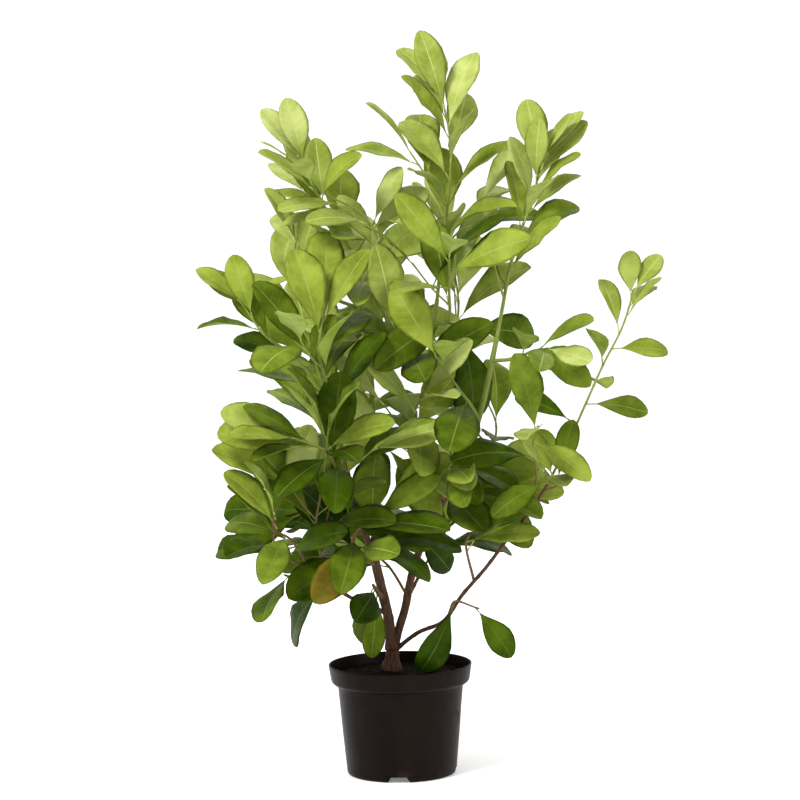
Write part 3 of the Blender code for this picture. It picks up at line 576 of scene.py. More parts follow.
def leaf_at(shoot, path, share, age, turn, tilt, draws):
    """The leaf that sits at a share of a twig's path, turned round it and tilted away from it.

    age runs from 1 for the twig's first leaf to 0 for its last, and draws are eight random shares.
    """
    root, axis = at_share(path, share)
    root = root - ROOT_SINK * axis
    front = front_of(axis)
    outward = turned(front, axis, turn)
    angle = math.radians(tilt)
    heading = unit(axis * math.cos(angle) + outward * math.sin(angle))
    heading = unit(heading - np.array((0, 0, shoot.droop * (YOUNG_DROOP + age) * draws[3])))
    face = TOWARDS_TIP * axis + np.array(TOWARDS_LIGHT)
    face = face - heading * face.dot(heading)
    if np.linalg.norm(face) < FACE_TOO_SHORT:
        face = front - heading * front.dot(heading)
    face = turned(unit(face), heading, FACE_ROLL_VARIES * (draws[0] - 0.5))
    length = shoot.length / 1000 * ramp(LENGTH_WITH_AGE, math.sqrt(age)) * ramp(LENGTH_VARIES, draws[1])
    width = length * ramp(WIDTH_VARIES, draws[2])
    bend = LEAF_BEND + LEAF_BEND_WITH_AGE * age * draws[4] + LEAF_BEND_VARIES * draws[5]
    fold = math.radians(ramp(FOLD_VARIES, draws[6]))
    petiole = PETIOLE * ramp(PETIOLE_WITH_AGE, age)
    tone = shoot.tone + YOUNG_TONE * (1 - age) - OLD_TONE * age + TONE_VARIES * (draws[7] - 0.5)
    return Leaf(root, heading, face, length, width, petiole, bend, fold, tone)


def leaves_on(shoot, path, count, first, phase, rng, space):
    """Leaves in a spiral up a twig, closer together and more upright towards its tip.

    A leaf that touches something is turned round the twig a little and tried again, then skipped.
    """
    leaves = []
    for k in range(count):
        young = k / max(1, count - 1)
        share = 1 - (1 - first) * (1 - young)**LEAF_CROWDING
        tilt = shoot.spread[0] + (shoot.spread[1] - shoot.spread[0]) * young
        draws = [rng.random() for _ in range(8)]
        turn = phase + k * GOLDEN_ANGLE + LEAF_TURN_VARIES * (rng.random() - 0.5)
        tilt = tilt * ramp(TILT_VARIES, rng.random())
        for more_turn, more_tilt in TRIES:
            leaf = leaf_at(shoot, path, share, 1 - young, turn + more_turn, tilt + more_tilt, draws)
            if fits(space, shoot.name, leaf):
                leaves.append(leaf)
                space.add(shoot.name, *leaf_solid(leaf))
                break
    return leaves


def side_twigs(shoot, stem, radii, rng, space):
    """Side twigs that branch off a stem by turns of the golden angle and curve up to the light."""
    twigs = []
    length = np.linalg.norm(np.diff(stem, axis=0), axis=1).sum()
    for k in range(shoot.twigs):
        share = TWIG_START + TWIG_STRETCH * k / shoot.twigs + TWIG_START_VARIES * rng.random()
        root, axis = at_share(stem, share)
        front = front_of(axis)
        turn = shoot.phase + TWIG_TURN + k * GOLDEN_ANGLE + TWIG_TURN_VARIES * (rng.random() - 0.5)
        reach = min(max(TWIG_SHARE * length, TWIG_SHORTEST), TWIG_LONGEST)
        reach = reach * ramp(TWIG_LENGTH_VARIES, rng.random())
        for more_turn, _ in TRIES:
            heading = unit(TWIG_LEAN * axis + turned(front, axis, turn + more_turn))
            shares = np.linspace(0, 1, TWIG_POINTS)[:, None]
            path = root + reach * (shares * heading + TWIG_CURVE * shares**2 * np.array((0, 0, 1.0)))
            sizes = np.linspace(radius_at(radii, share) * TWIG_FOOT_SHARE, TWIG_TIP_RADIUS, TWIG_POINTS)
            if space.free(*tube(path, sizes + CLEARANCE, STEM_SIDES), lambda name: name != shoot.name):
                twigs.append((path, sizes))
                break
    return twigs


def grow_plant():
    """Every limb's path and every shoot's stem, twigs and leaves, each clear of all the others.

    The pot isn't in the space that they share, because nothing that grows here touches it.
    """
    paths = limb_paths()
    space = Space()
    for name, (path, radii) in paths.items():
        space.add(name, *tube(path, radii + CLEARANCE, LIMB_SIDES))
    stems = {shoot.name: stem_path(shoot, paths) for shoot in SHOOTS}
    for name, (stem, radii) in stems.items():
        space.add(name, *tube(stem, radii, STEM_SIDES))
    grown = []
    for shoot in SHOOTS:
        rng = random.Random(shoot.seed)
        stem, radii = stems[shoot.name]
        twigs = side_twigs(shoot, stem, radii, rng, space)
        for path, sizes in twigs:
            space.add(shoot.name, *tube(path, sizes, STEM_SIDES))
        grown.append((shoot, stem, radii, twigs, rng))
    plant = {}
    for shoot, stem, radii, twigs, rng in grown:
        first = FIRST_LEAF if shoot.leaves > SPARSE_LEAVES else FIRST_LEAF_OF_SPARSE
        leaves = leaves_on(shoot, stem, shoot.leaves, first, shoot.phase, rng, space)
        for number, (path, _) in enumerate(twigs):
            phase = shoot.phase + TWIG_PHASE_STEP * number
            leaves += leaves_on(shoot, path, SIDE_TWIG_LEAVES, FIRST_LEAF_OF_TWIG, phase, rng, space)
        plant[shoot.name] = (stem, radii, twigs, leaves)
    return paths, plant


def swept_skin(path, radii, around):
    """Ring points of a tube along a path: centre + r (cos a side + sin a other), as (rows, around, 3).

    The side is carried along the path without twist: each is the last one, less its part along the
    new tangent, made one long. The other is square to both.
    """
    tangents = np.gradient(path, axis=0)
    tangents = tangents / np.linalg.norm(tangents, axis=1)[:, None]
    side = np.cross(tangents[0], START_SIDE)
    sides = []
    for tangent in tangents:
        side = unit(side - tangent * tangent.dot(side))
        sides.append(side)
    sides = np.array(sides)
    angles = round_turn(around)[:, None]
    ring = np.cos(angles) * sides[:, None] + np.sin(angles) * np.cross(tangents, sides)[:, None]
    return path[:, None] + np.asarray(radii)[..., None] * ring


def ring_faces(rows, around):
    """Faces of a closed skin over rows of rings with a pole at each end: (triangles, quads).

    The first point is the foot pole, the last the tip pole, and the rings lie between in order.
    """
    k = np.arange(around)
    following = (k + 1) % around
    row = np.arange(rows - 1)[:, None] * around + 1
    quads = np.stack((row + k, row + following, row + following + around, row + k + around), axis=-1)
    last = 1 + (rows - 1) * around
    foot = np.stack((0 * k, 1 + following, 1 + k), axis=1)
    tip = np.stack((0 * k + last + around, last + k, last + following), axis=1)
    return np.vstack((foot, tip)), quads.reshape(-1, 4)


def closed_skin(foot, rings, tip):
    """A skin over rings of points (rows, around, 3), closed by two poles: points, triangles, quads."""
    return np.vstack((foot, rings.reshape(-1, 3), tip)), *ring_faces(*rings.shape[:2])


def tube(path, radii, sides):
    """Points and triangles of a plain closed tube, used to test what is in the way."""
    points, ends, quads = closed_skin(path[0], swept_skin(path, radii[:, None], sides), path[-1])
    return points, np.vstack((ends, quads[:, :3], quads[:, (0, 2, 3)]))


def value_noise(shape, seed, wrap_rows=False):
    """A smooth random surface from -1 to 1 on the unit square, as a function of two arrays.

    Random heights on a coarse lattice of the given shape, blended between lattice points by the
    smooth step 3f^2 - 2f^3. The first axis closes on itself where wrap_rows is set.
    """
    lattice = np.random.RandomState(seed).uniform(-1, 1, shape)

    def read(a, b):
        a = np.asarray(a) * (shape[0] if wrap_rows else shape[0] - 1)
        b = np.clip(np.asarray(b), 0, 1) * (shape[1] - 1)
        i = np.floor(a).astype(int)
        j = np.minimum(np.floor(b).astype(int), shape[1] - 2)
        share = smooth_step(a - i)
        low, high = i % shape[0], (i + 1) % shape[0]
        near = lattice[low, j] * (1 - share) + lattice[high, j] * share
        far = lattice[low, j + 1] * (1 - share) + lattice[high, j + 1] * share
        share = smooth_step(b - j)
        return near * (1 - share) + far * share

    return read


def in_scene(name, data):
    """A new object in the scene that shows the mesh, lamp or camera."""
    made = bpy.data.objects.new(name, data)
    bpy.context.scene.collection.objects.link(made)
    return made


def finished_mesh(name, skin, materials, numbers=None, uv=None, sharp=None):
    """A new object at the origin from a skin: its points, then its faces in blocks of equal corners.

    numbers gives each face's material, uv each face corner's place on the map, and sharp the
    angle in degrees past which an edge between two faces stays sharp.
    """
    points, *faces = skin
    mesh = bpy.data.meshes.new(name)
    sizes = np.concatenate([np.full(len(block), block.shape[1], np.int32) for block in faces])
    corners = np.concatenate([block.ravel() for block in faces]).astype(np.int32)
    mesh.vertices.add(len(points))
    mesh.vertices.foreach_set("co", points.astype(np.float32).ravel())
    mesh.loops.add(len(corners))
    mesh.loops.foreach_set("vertex_index", corners)
    mesh.polygons.add(len(sizes))
    mesh.polygons.foreach_set("loop_start", (np.cumsum(sizes) - sizes).astype(np.int32))
    mesh.polygons.foreach_set("loop_total", sizes)
    for material in materials:
        mesh.materials.append(material)
    if numbers is not None:
        mesh.polygons.foreach_set("material_index", numbers.astype(np.int32))
    mesh.polygons.foreach_set("use_smooth", np.ones(len(sizes), bool))
    if uv is not None:
        layer = mesh.uv_layers.new(name="surface")
        layer.data.foreach_set("uv", uv.astype(np.float32).ravel())
    mesh.update()
    mesh.validate()
    if sharp:
        mesh.set_sharp_from_angle(angle=math.radians(sharp))
    piece = in_scene(name, mesh)
    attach(piece, "root")
    return piece


def fine_path(path, radii, step):
    """The same curve and taper at close even steps: its points, their shares of it, and the radii."""
    fine = smooth_route(path, step)
    share = np.linspace(0, 1, len(fine))
    return fine, share, radius_at(radii, share)


def bark_skin(path, radii, number):
    """One limb's skin with bark relief, closed at both ends.

    Radius = the taper, times one plus lengthwise ridges and low knots: smooth noise that is
    stretched along the limb, plus leaf scars, each a ring-shaped swelling on one side. Every limb
    but the first also swells to a collar at its foot.
    """
    fine, share, taper = fine_path(path, radii, BARK_STEP)
    length = len(fine) * BARK_STEP
    along = share[:, None] * length
    turn = np.arange(BARK_AROUND) / BARK_AROUND
    relief = 1.0
    for layer, (across, fewest, size, height) in enumerate(BARK_RIDGES):
        noise = value_noise((across, max(fewest, int(length / size))), number + layer, True)
        relief = relief + height * noise(turn, share[:, None])
    places = np.arange(0.6 * SCAR_SPACING, length - SCAR_FREE_END, SCAR_SPACING)
    turns = 1.3 * number + math.radians(GOLDEN_ANGLE) * np.arange(len(places))[:, None]
    near = np.exp(-((along - places) / SCAR_LENGTH)**2)
    facing = ramp(SCAR_AROUND, np.exp(2.5 * (np.cos(2 * math.pi * turn - turns) - 1)))
    knots = SCAR_HEIGHT * min(1.0, SCAR_LIMB_RADIUS / radii[0]) * (near @ facing)
    collar = COLLAR * np.exp(-(along / COLLAR_LENGTH)**2) if number else 0.0
    skin = swept_skin(fine, taper[:, None] * (relief + knots + collar), BARK_AROUND)
    return closed_skin(fine[0], skin, fine[-1])


def stem_skin(path, radii, roots, bud):
    """One green stem's skin: a slim taper with a swelling at each leaf, and a pointed bud at its tip.

    Radius = taper x (1 + 0.3 exp(-(distance to the nearest leaf root / 3 mm)^2)). Past the path's
    end it runs on as a bud, whose radius is a sine hump that ends in a point.
    """
    fine, _, taper = fine_path(path, radii, STEM_FINE_STEP)
    away = np.linalg.norm(fine[:, None] - roots[None], axis=2).min(axis=1)
    size = taper * (1 + NODE_SWELLING * np.exp(-(away / NODE_LENGTH)**2))
    tip = unit(fine[-1] - fine[-2])
    along = np.linspace(0.12, 1, BUD_ROWS)
    hump = radii[-1] * (0.25 + 1.15 * np.sin(math.pi * (0.25 + 0.75 * along)))
    whole = np.vstack((fine, fine[-1] + bud * along[:, None] * tip))
    skin = swept_skin(whole, np.append(size, hump)[:, None], STEM_AROUND)
    return closed_skin(whole[0], skin, whole[-1] + POINT_LENGTH * tip)


def joined(skins):
    """Several skins as one: points, triangles, quads, the faces shifted past the points before them."""
    points, *blocks = zip(*skins)
    firsts = np.cumsum([0] + [len(part) for part in points])
    shifted = ([part + first for part, first in zip(block, firsts)] for block in blocks)
    return np.vstack(points), *map(np.vstack, shifted)


def blade_shares():
    """How far along the blade its rows lie: closer together towards both ends, by half a cosine wave."""
    return 0.5 * (1 - np.cos(np.linspace(0.06, math.pi - 0.045, BLADE_ROWS)))


def leaf_skins(leaves, seed):
    """Ring points of many leaves at once, as (leaf, row, around, 3), with their poles (leaf, 1, 3).

    A leaf is a closed skin of rings. The first rings are its round stalk. Each blade ring runs
    across the upper side and back across the underside, with v from -1 to 1 across and u from 0
    to 1 along. A blade point is midrib(u) + half(u) v (side) + rise(u, v) (up), where rise is a
    shallow V that flattens to the edge, plus an edge wave: half times (sin fold (sqrt(v^2 + e^2) - e)
    - arch v^2 + wave |v|^2 sin(2 pi (n u + p))). The thickness fades to nothing at the edge, and a
    rib stands out below along the middle.
    """
    draw = np.random.RandomState(seed)
    one = (len(leaves), 1, 1)
    two = (len(leaves), 1, 2)
    many = Leaf(*(np.array(values).reshape(len(leaves), 1, -1) for values in zip(*leaves)))
    side = np.cross(many.heading, many.face)
    shares = blade_shares()
    u = shares[:, None]
    v = BLADE_COLUMNS
    middle, up = leaf_midrib(many, shares)
    twist = draw.uniform(-BLADE_TWIST, BLADE_TWIST, one) * u
    across = np.cos(twist) * side + np.sin(twist) * up
    up = np.cos(twist) * up - np.sin(twist) * side
    lopsided = 1 + draw.uniform(-LOPSIDED, LOPSIDED, one) * np.sign(v)
    half = 0.5 * many.width * leaf_half_width(u) + EDGE_MARGIN
    vee = np.sin(many.fold) * (np.sqrt(v**2 + FOLD_SOFTNESS**2) - FOLD_SOFTNESS)
    arch = draw.uniform(*BLADE_ARCH, one) * v**2
    waves = draw.uniform(*EDGE_WAVES, two)
    phases = draw.uniform(0, 1, two)
    edge = np.where(v > 0, 0, 1)
    cycle = waves[..., edge] * u + phases[..., edge]
    wave = draw.uniform(*EDGE_WAVE_HEIGHT, one) * v**2 * np.sin(2 * math.pi * cycle)
    spread = half * v * np.cos(many.fold) * lopsided
    rise = half * (vee - arch + wave)
    sheet = middle[:, :, None] + spread[..., None] * across[:, :, None] + rise[..., None] * up[:, :, None]
    body = BLADE_THICKNESS * (1 - v**4) * np.minimum(1, 12 * (1 - u))
    ridge = np.exp(-(half * v / RIB_WIDTH)**2)
    above = body - GROOVE_DEPTH * ridge * (1 - 0.6 * u)
    below = body + RIB_HEIGHT * ridge * (1 - 0.75 * u)
    upper = sheet + above[..., None] * up[:, :, None]
    under = sheet - below[..., None] * up[:, :, None]
    blade = np.concatenate((upper, under[:, :, -2:0:-1]), axis=2)
    turn = np.linspace(0, math.pi, len(v))
    turn = np.concatenate((turn, math.pi + turn[1:-1]))[:, None]
    ring = np.sin(turn) * many.face - np.cos(turn) * side
    stalk = many.root + STALK_SHARES[:, None] * many.petiole * many.heading
    stalk = stalk[:, :, None] + STALK_RADII[:, None, None] * ring[:, None]
    rows = np.concatenate((stalk, blade), axis=1)
    return many.root, rows, middle[:, -1:] + POINT_LENGTH * many.heading


def leaf_faces(rows, around):
    """One leaf's triangles, and which finish each takes: 0 upper side, 1 underside, 2 midrib and stalk.

    Each square of the underside is cut along the same diagonal as the square above it, so that the
    two sides run side by side and neither comes through the other.
    """
    ends, squares = ring_faces(rows, around)
    strips = len(BLADE_COLUMNS) - 1
    row = np.repeat(np.arange(rows - 1), around)
    place = np.tile(np.arange(around), rows - 1)
    finish = np.where(place < strips, 0, 1)
    finish = np.where((place == strips // 2) | (row < len(STALK_SHARES)), 2, finish)
    above = (place < strips)[:, None]
    near = np.where(above, squares[:, (0, 1, 2)], squares[:, (0, 1, 3)])
    far = np.where(above, squares[:, (0, 2, 3)], squares[:, (1, 2, 3)])
    tip = np.where(np.arange(around) < strips, 0, 1)
    return np.vstack((ends, near, far)), np.concatenate((np.full(around, 2), tip, finish, finish))


def leaf_map(rows):
    """Where each point of a leaf lies on its own map: -1 to 1 across the blade, 0 to 1 along it."""
    columns = np.concatenate((BLADE_COLUMNS, BLADE_COLUMNS[-2:0:-1]))
    along = np.concatenate((0 * STALK_SHARES, blade_shares()))
    across = np.concatenate(((0,), np.tile(columns, rows), (0,)))
    return np.stack((across, np.concatenate(((0,), np.repeat(along, len(columns)), (1,)))), axis=1)


class Finish:
    """A Principled material, with short ways to add the nodes that feed it."""

    def __init__(self, name, roughness, shine):
        """shine is the strength of the reflection seen face on, 0.5 for common plastics."""
        self.material = bpy.data.materials.new(name)
        self.material.use_nodes = True
        self.tree = self.material.node_tree
        self.shader = self.tree.nodes["Principled BSDF"]
        self.shader.inputs["Roughness"].default_value = roughness
        self.shader.inputs["Specular IOR Level"].default_value = shine
        place = self.tree.nodes.new("ShaderNodeTexCoord")
        self.place = place.outputs["Object"]
        self.map = place.outputs["UV"]

    def feed(self, socket, value):
        """Link a socket to another node's output, or set it to a plain value."""
        if isinstance(value, bpy.types.NodeSocket):
            self.tree.links.new(value, socket)
        else:
            socket.default_value = value

    def node(self, kind, inputs, **settings):
        """A new node with its settings and with its inputs, by name or number, fed."""
        made = self.tree.nodes.new(kind)
        for key, value in settings.items():
            setattr(made, key, value)
        for key, value in inputs.items():
            self.feed(made.inputs[key], value)
        return made

    def pattern(self, kind, scale, **inputs):
        """A texture on Object coordinates, stretched along the axes where scale has three numbers."""
        inputs.update(Vector=self.place, Scale=scale)
        if isinstance(scale, tuple):
            stretched = self.node("ShaderNodeMapping", {"Vector": self.place, "Scale": scale})
            inputs.update(Vector=stretched.outputs[0], Scale=1.0)
        return self.node(kind, inputs)

    def noise(self, scale, detail):
        """Smooth noise from 0 to 1."""
        return self.pattern("ShaderNodeTexNoise", scale, Detail=detail).outputs["Fac"]

    def cells(self, scale):
        """Distance to the nearest of scattered points."""
        return self.pattern("ShaderNodeTexVoronoi", scale).outputs["Distance"]

    def maths(self, operation, *values):
        """One step of arithmetic."""
        return self.node("ShaderNodeMath", dict(enumerate(values)), operation=operation).outputs[0]

    def times(self, first, second):
        """The product of two values."""
        return self.maths("MULTIPLY", first, second)

    def plus(self, first, second):
        """The sum of two values."""
        return self.maths("ADD", first, second)

    def spread(self, value, low, high, to_low=0.0, to_high=1.0):
        """A value mapped smoothly from one range to another and held at its ends."""
        inputs = dict(enumerate((value, low, high, to_low, to_high)))
        return self.node("ShaderNodeMapRange", inputs, interpolation_type="SMOOTHSTEP").outputs[0]

    def blend(self, share, first, second):
        """A colour between two."""
        inputs = {0: share, 6: linear(first), 7: linear(second)}
        return self.node("ShaderNodeMix", inputs, data_type="RGBA").outputs[2]

    def clouds(self, scale, first, second):
        """Soft cloudy patches of two colours."""
        return self.blend(self.spread(self.noise(scale, 3.0), 0.3, 0.7), first, second)

    def colour(self, value):
        """The base colour."""
        self.feed(self.shader.inputs["Base Color"], value)

    def roughness(self, value):
        """The roughness."""
        self.feed(self.shader.inputs["Roughness"], value)

    def relief(self, height, strength, distance):
        """Fine relief from a height."""
        bump = self.node("ShaderNodeBump", {"Strength": strength, "Distance": distance, "Height": height})
        self.feed(self.shader.inputs["Normal"], bump.outputs["Normal"])


def linear(colour):
    """A colour of 0 to 255 screen values as the linear one that a shader takes; a socket as it is."""
    if isinstance(colour, bpy.types.NodeSocket):
        return colour
    share = [value / 255 for value in colour]
    return tuple(c / 12.92 if c <= 0.04045 else ((c + 0.055) / 1.055)**2.4 for c in share) + (1.0,)


def vein_lines(finish):
    """Side veins on a blade's own map: thin lines that leave the midrib and curve towards the tip.

    Also how far each place is from the middle between two veins.
    """
    parts = finish.node("ShaderNodeSeparateXYZ", {0: finish.map})
    across = finish.maths("ABSOLUTE", parts.outputs[0])
    bent = finish.times(finish.maths("POWER", across, 1.35), 1.25)
    place = finish.maths("SUBTRACT", finish.times(parts.outputs[1], VEIN_PAIRS), bent)
    away = finish.maths("ABSOLUTE", finish.maths("SUBTRACT", finish.maths("FRACT", place), 0.5))
    line = finish.spread(away, 0.0, 0.16, 1.0, 0.0)
    return finish.times(line, finish.spread(across, 0.75, 1.0, 1.0, 0.15)), away


def upper_leaf(name, deep, light, roughness):
    """Satin upper side: two greens in soft cloudy patches, faint side veins between low swells."""
    finish = Finish(name, roughness, 0.03)
    veins, away = vein_lines(finish)
    paler = tuple(1.1 * value + 10 for value in light)
    finish.colour(finish.blend(finish.times(veins, 0.13), finish.clouds(28.0, deep, light), paler))
    uneven = finish.noise(140.0, 2.0)
    finish.roughness(finish.spread(uneven, 0.3, 0.7, roughness - 0.05, roughness + 0.08))
    swell = finish.maths("SUBTRACT", finish.spread(away, 0.0, 0.5), finish.times(veins, 0.3))
    finish.relief(finish.plus(swell, finish.times(finish.noise(900.0, 2.0), 0.2)), 0.22, 0.0005)
    return finish.material


def under_leaf(name, deep, light):
    """Matt, paler underside with raised veins."""
    finish = Finish(name, 0.75, 0.02)
    veins, _ = vein_lines(finish)
    paler = tuple(1.08 * value + 6 for value in light)
    finish.colour(finish.blend(finish.times(veins, 0.16), finish.clouds(30.0, deep, light), paler))
    finish.relief(finish.plus(veins, finish.times(finish.noise(700.0, 2.0), 0.3)), 0.2, 0.0004)
    return finish.material


def rib_finish(name, deep, light):
    """Midrib and stalk: smooth, pale, a little streaked."""
    finish = Finish(name, 0.55, 0.15)
    finish.colour(finish.blend(finish.noise(160.0, 2.0), deep, light))
    finish.relief(finish.noise(900.0, 2.0), 0.15, 0.0003)
    return finish.material


def green_with_height(finish, streaks, low):
    """A bark colour that turns to green wood with height above the ground, a little unevenly."""
    height = finish.node("ShaderNodeSeparateXYZ", {0: finish.place}).outputs[2]
    waver = finish.maths("MULTIPLY_ADD", finish.noise(14.0, 2.0), 0.12, -0.06)
    share = finish.spread(finish.plus(height, waver), *GREEN_WOOD_HEIGHTS)
    return finish.blend(share, low, finish.blend(streaks, (92, 104, 40), (142, 154, 72)))


def bark_finish():
    """Young laurel bark: reddish brown in lengthwise streaks with small pale pores, green higher up."""
    finish = Finish("bark", 0.65, 0.15)
    streaks = finish.noise((260.0, 260.0, 55.0), 4.0)
    broad = finish.noise((60.0, 60.0, 14.0), 3.0)
    base = finish.blend(finish.spread(streaks, 0.32, 0.68), (52, 33, 22), (92, 62, 44))
    base = finish.blend(finish.spread(broad, 0.42, 0.72, 0.0, 0.5), base, (76, 62, 46))
    spots = finish.spread(finish.cells((330.0, 330.0, 210.0)), 0.12, 0.24, 1.0, 0.0)
    rare = finish.spread(finish.noise((150.0, 150.0, 90.0), 1.0), 0.52, 0.60)
    pores = finish.times(spots, rare)
    base = finish.blend(finish.times(pores, 0.7), base, (132, 104, 78))
    finish.colour(green_with_height(finish, streaks, base))
    finish.roughness(finish.spread(streaks, 0.3, 0.7, 0.5, 0.78))
    finish.relief(finish.plus(finish.times(streaks, 0.7), finish.times(pores, 0.8)), 0.5, 0.0007)
    return finish.material


def twig_finish():
    """Thin stems: fine lengthwise streaks, brown low down and green wood above."""
    finish = Finish("green_wood", 0.6, 0.15)
    streaks = finish.noise((420.0, 420.0, 80.0), 3.0)
    finish.colour(green_with_height(finish, streaks, finish.blend(streaks, (84, 60, 38), (116, 94, 56))))
    finish.relief(streaks, 0.3, 0.0004)
    return finish.material


def pot_finish():
    """Moulded pot: near black brown, satin, finely grained, dusty towards the foot."""
    finish = Finish("pot_plastic", 0.45, 0.06)
    height = finish.node("ShaderNodeSeparateXYZ", {0: finish.place}).outputs[2]
    flow = finish.noise((26.0, 26.0, 5.0), 3.0)
    base = finish.blend(finish.spread(flow, 0.3, 0.7), (14, 6, 4), (20, 12, 8))
    smudge = finish.spread(finish.noise(38.0, 5.0), 0.52, 0.78)
    dust = finish.times(smudge, finish.spread(height, 0.0, 0.05, 0.4, 0.08))
    finish.colour(finish.blend(dust, base, (50, 43, 37)))
    finish.roughness(finish.spread(smudge, 0.0, 1.0, 0.38, 0.6))
    finish.relief(finish.plus(finish.noise(900.0, 2.0), finish.times(flow, 1.5)), 0.12, 0.0004)
    return finish.material


def compost_finish():
    """Moist compost: near black crumbs, with brown fibres."""
    finish = Finish("compost", 0.9, 0.04)
    lumps = finish.noise(120.0, 5.0)
    base = finish.blend(finish.spread(lumps, 0.3, 0.7), (10, 6, 4), (30, 20, 12))
    fibres = finish.spread(finish.noise((500.0, 90.0, 300.0), 2.0), 0.62, 0.7)
    finish.colour(finish.blend(finish.times(fibres, 0.6), base, (60, 42, 26)))
    finish.relief(finish.plus(finish.cells(260.0), lumps), 0.8, 0.002)
    return finish.material


def make_leaves(name, leaves, finishes, seed):
    """All the leaves that one limb carries, as one piece, each leaf in the green of its tone, which is partly
    the leaf's own colour and partly painted shade.
    """
    foot, rings, tip = leaf_skins(leaves, seed)
    rows, around = rings.shape[1:3]
    points = np.concatenate((foot, rings.reshape(len(leaves), -1, 3), tip), axis=1)
    triangles, finish = leaf_faces(rows, around)
    step = points.shape[1]
    faces = (triangles + step * np.arange(len(leaves))[:, None, None]).reshape(-1, 3)
    tones = np.array([leaf.tone for leaf in leaves])
    choice = []
    for greens in (UPPER_GREENS, UNDER_GREENS, RIB_GREENS):
        choice.append(np.clip((tones * len(greens)).astype(int), 0, len(greens) - 1))
    middles = np.array([leaf.root + 0.5 * leaf.length * leaf.heading for leaf in leaves])
    away = np.linalg.norm(middles - TURNING_LEAF_PLACE, axis=1)
    if away.min() < TURNING_LEAF_REACH:
        choice[0][np.argmin(away)] = len(finishes) - 1
    choice[1] += len(UPPER_GREENS)
    choice[2] += len(UPPER_GREENS) + len(UNDER_GREENS)
    numbers = np.stack(choice, axis=1)[:, finish].ravel()
    place = leaf_map(rows)[faces.ravel() % step]
    piece = finished_mesh(name, (points.reshape(-1, 3), faces), finishes, numbers, place)
    return piece


def make_twigs(name, shoots, plant, wood):
    """All the stems and side twigs that one limb carries, as one piece."""
    skins = []
    for shoot in shoots:
        stem, radii, twigs, leaves = plant[shoot.name]
        roots = np.array([leaf.root for leaf in leaves])
        skins.append(stem_skin(stem, radii, roots, BUD_LENGTH))
        skins += [stem_skin(path, sizes, roots, TWIG_BUD_SHARE * BUD_LENGTH) for path, sizes in twigs]
    piece = finished_mesh(name, joined(skins), [wood])


def make_crown(plant):
    """Fine twigs and leaves for every mass of leaves: a pair of pieces for each limb that has any."""
    finishes = [upper_leaf(f"leaf_{k}", *tones) for k, tones in enumerate(UPPER_GREENS)]
    finishes += [under_leaf(f"underside_{k}", *tones) for k, tones in enumerate(UNDER_GREENS)]
    finishes += [rib_finish(f"midrib_{k}", *tones) for k, tones in enumerate(RIB_GREENS)]
    finishes.append(upper_leaf("leaf_turning", *TURNING_LEAF))
    wood = twig_finish()
    for number, limb in enumerate(LIMBS):
        shoots = [shoot for shoot in SHOOTS if shoot.limb == limb.name]
        if shoots:
            leaves = [leaf for shoot in shoots for leaf in plant[shoot.name][3]]
            piece = make_leaves("leaves_on_" + limb.name, leaves, finishes, LEAF_SEED + number)
            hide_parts(*["leaves_" + shoot.name for shoot in shoots])
            make_twigs("twigs_on_" + limb.name, shoots, plant, wood)


def make_limbs(paths):
    """The trunk, stems and boughs, each replaced by a skin with bark relief."""
    bark = bark_finish()
    for number, limb in enumerate(LIMBS):
        path, radii = paths[limb.name]
        if not limb.parent:
            path = np.vstack((path[:1] - (0, 0, SUNK_FOOT), path))
            radii = np.append(radii[0], radii)
        piece = finished_mesh("bark_of_" + limb.name, bark_skin(path, radii, number), [bark])
        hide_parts(limb.name)


def arc(centre, size, start, end, steps):
    """Points of a round corner in a profile, from one angle in degrees to another: part of an ellipse."""
    turn = np.radians(np.linspace(start, end, steps))
    return list(zip(centre[0] + size[0] * np.cos(turn), centre[1] + size[1] * np.sin(turn)))


def line(start, end, steps):
    """Points along a straight stretch of a profile, without its two ends."""
    share = np.linspace(0, 1, steps + 2)[1:-1, None]
    return list(map(tuple, np.array(start) * (1 - share) + np.array(end) * share))


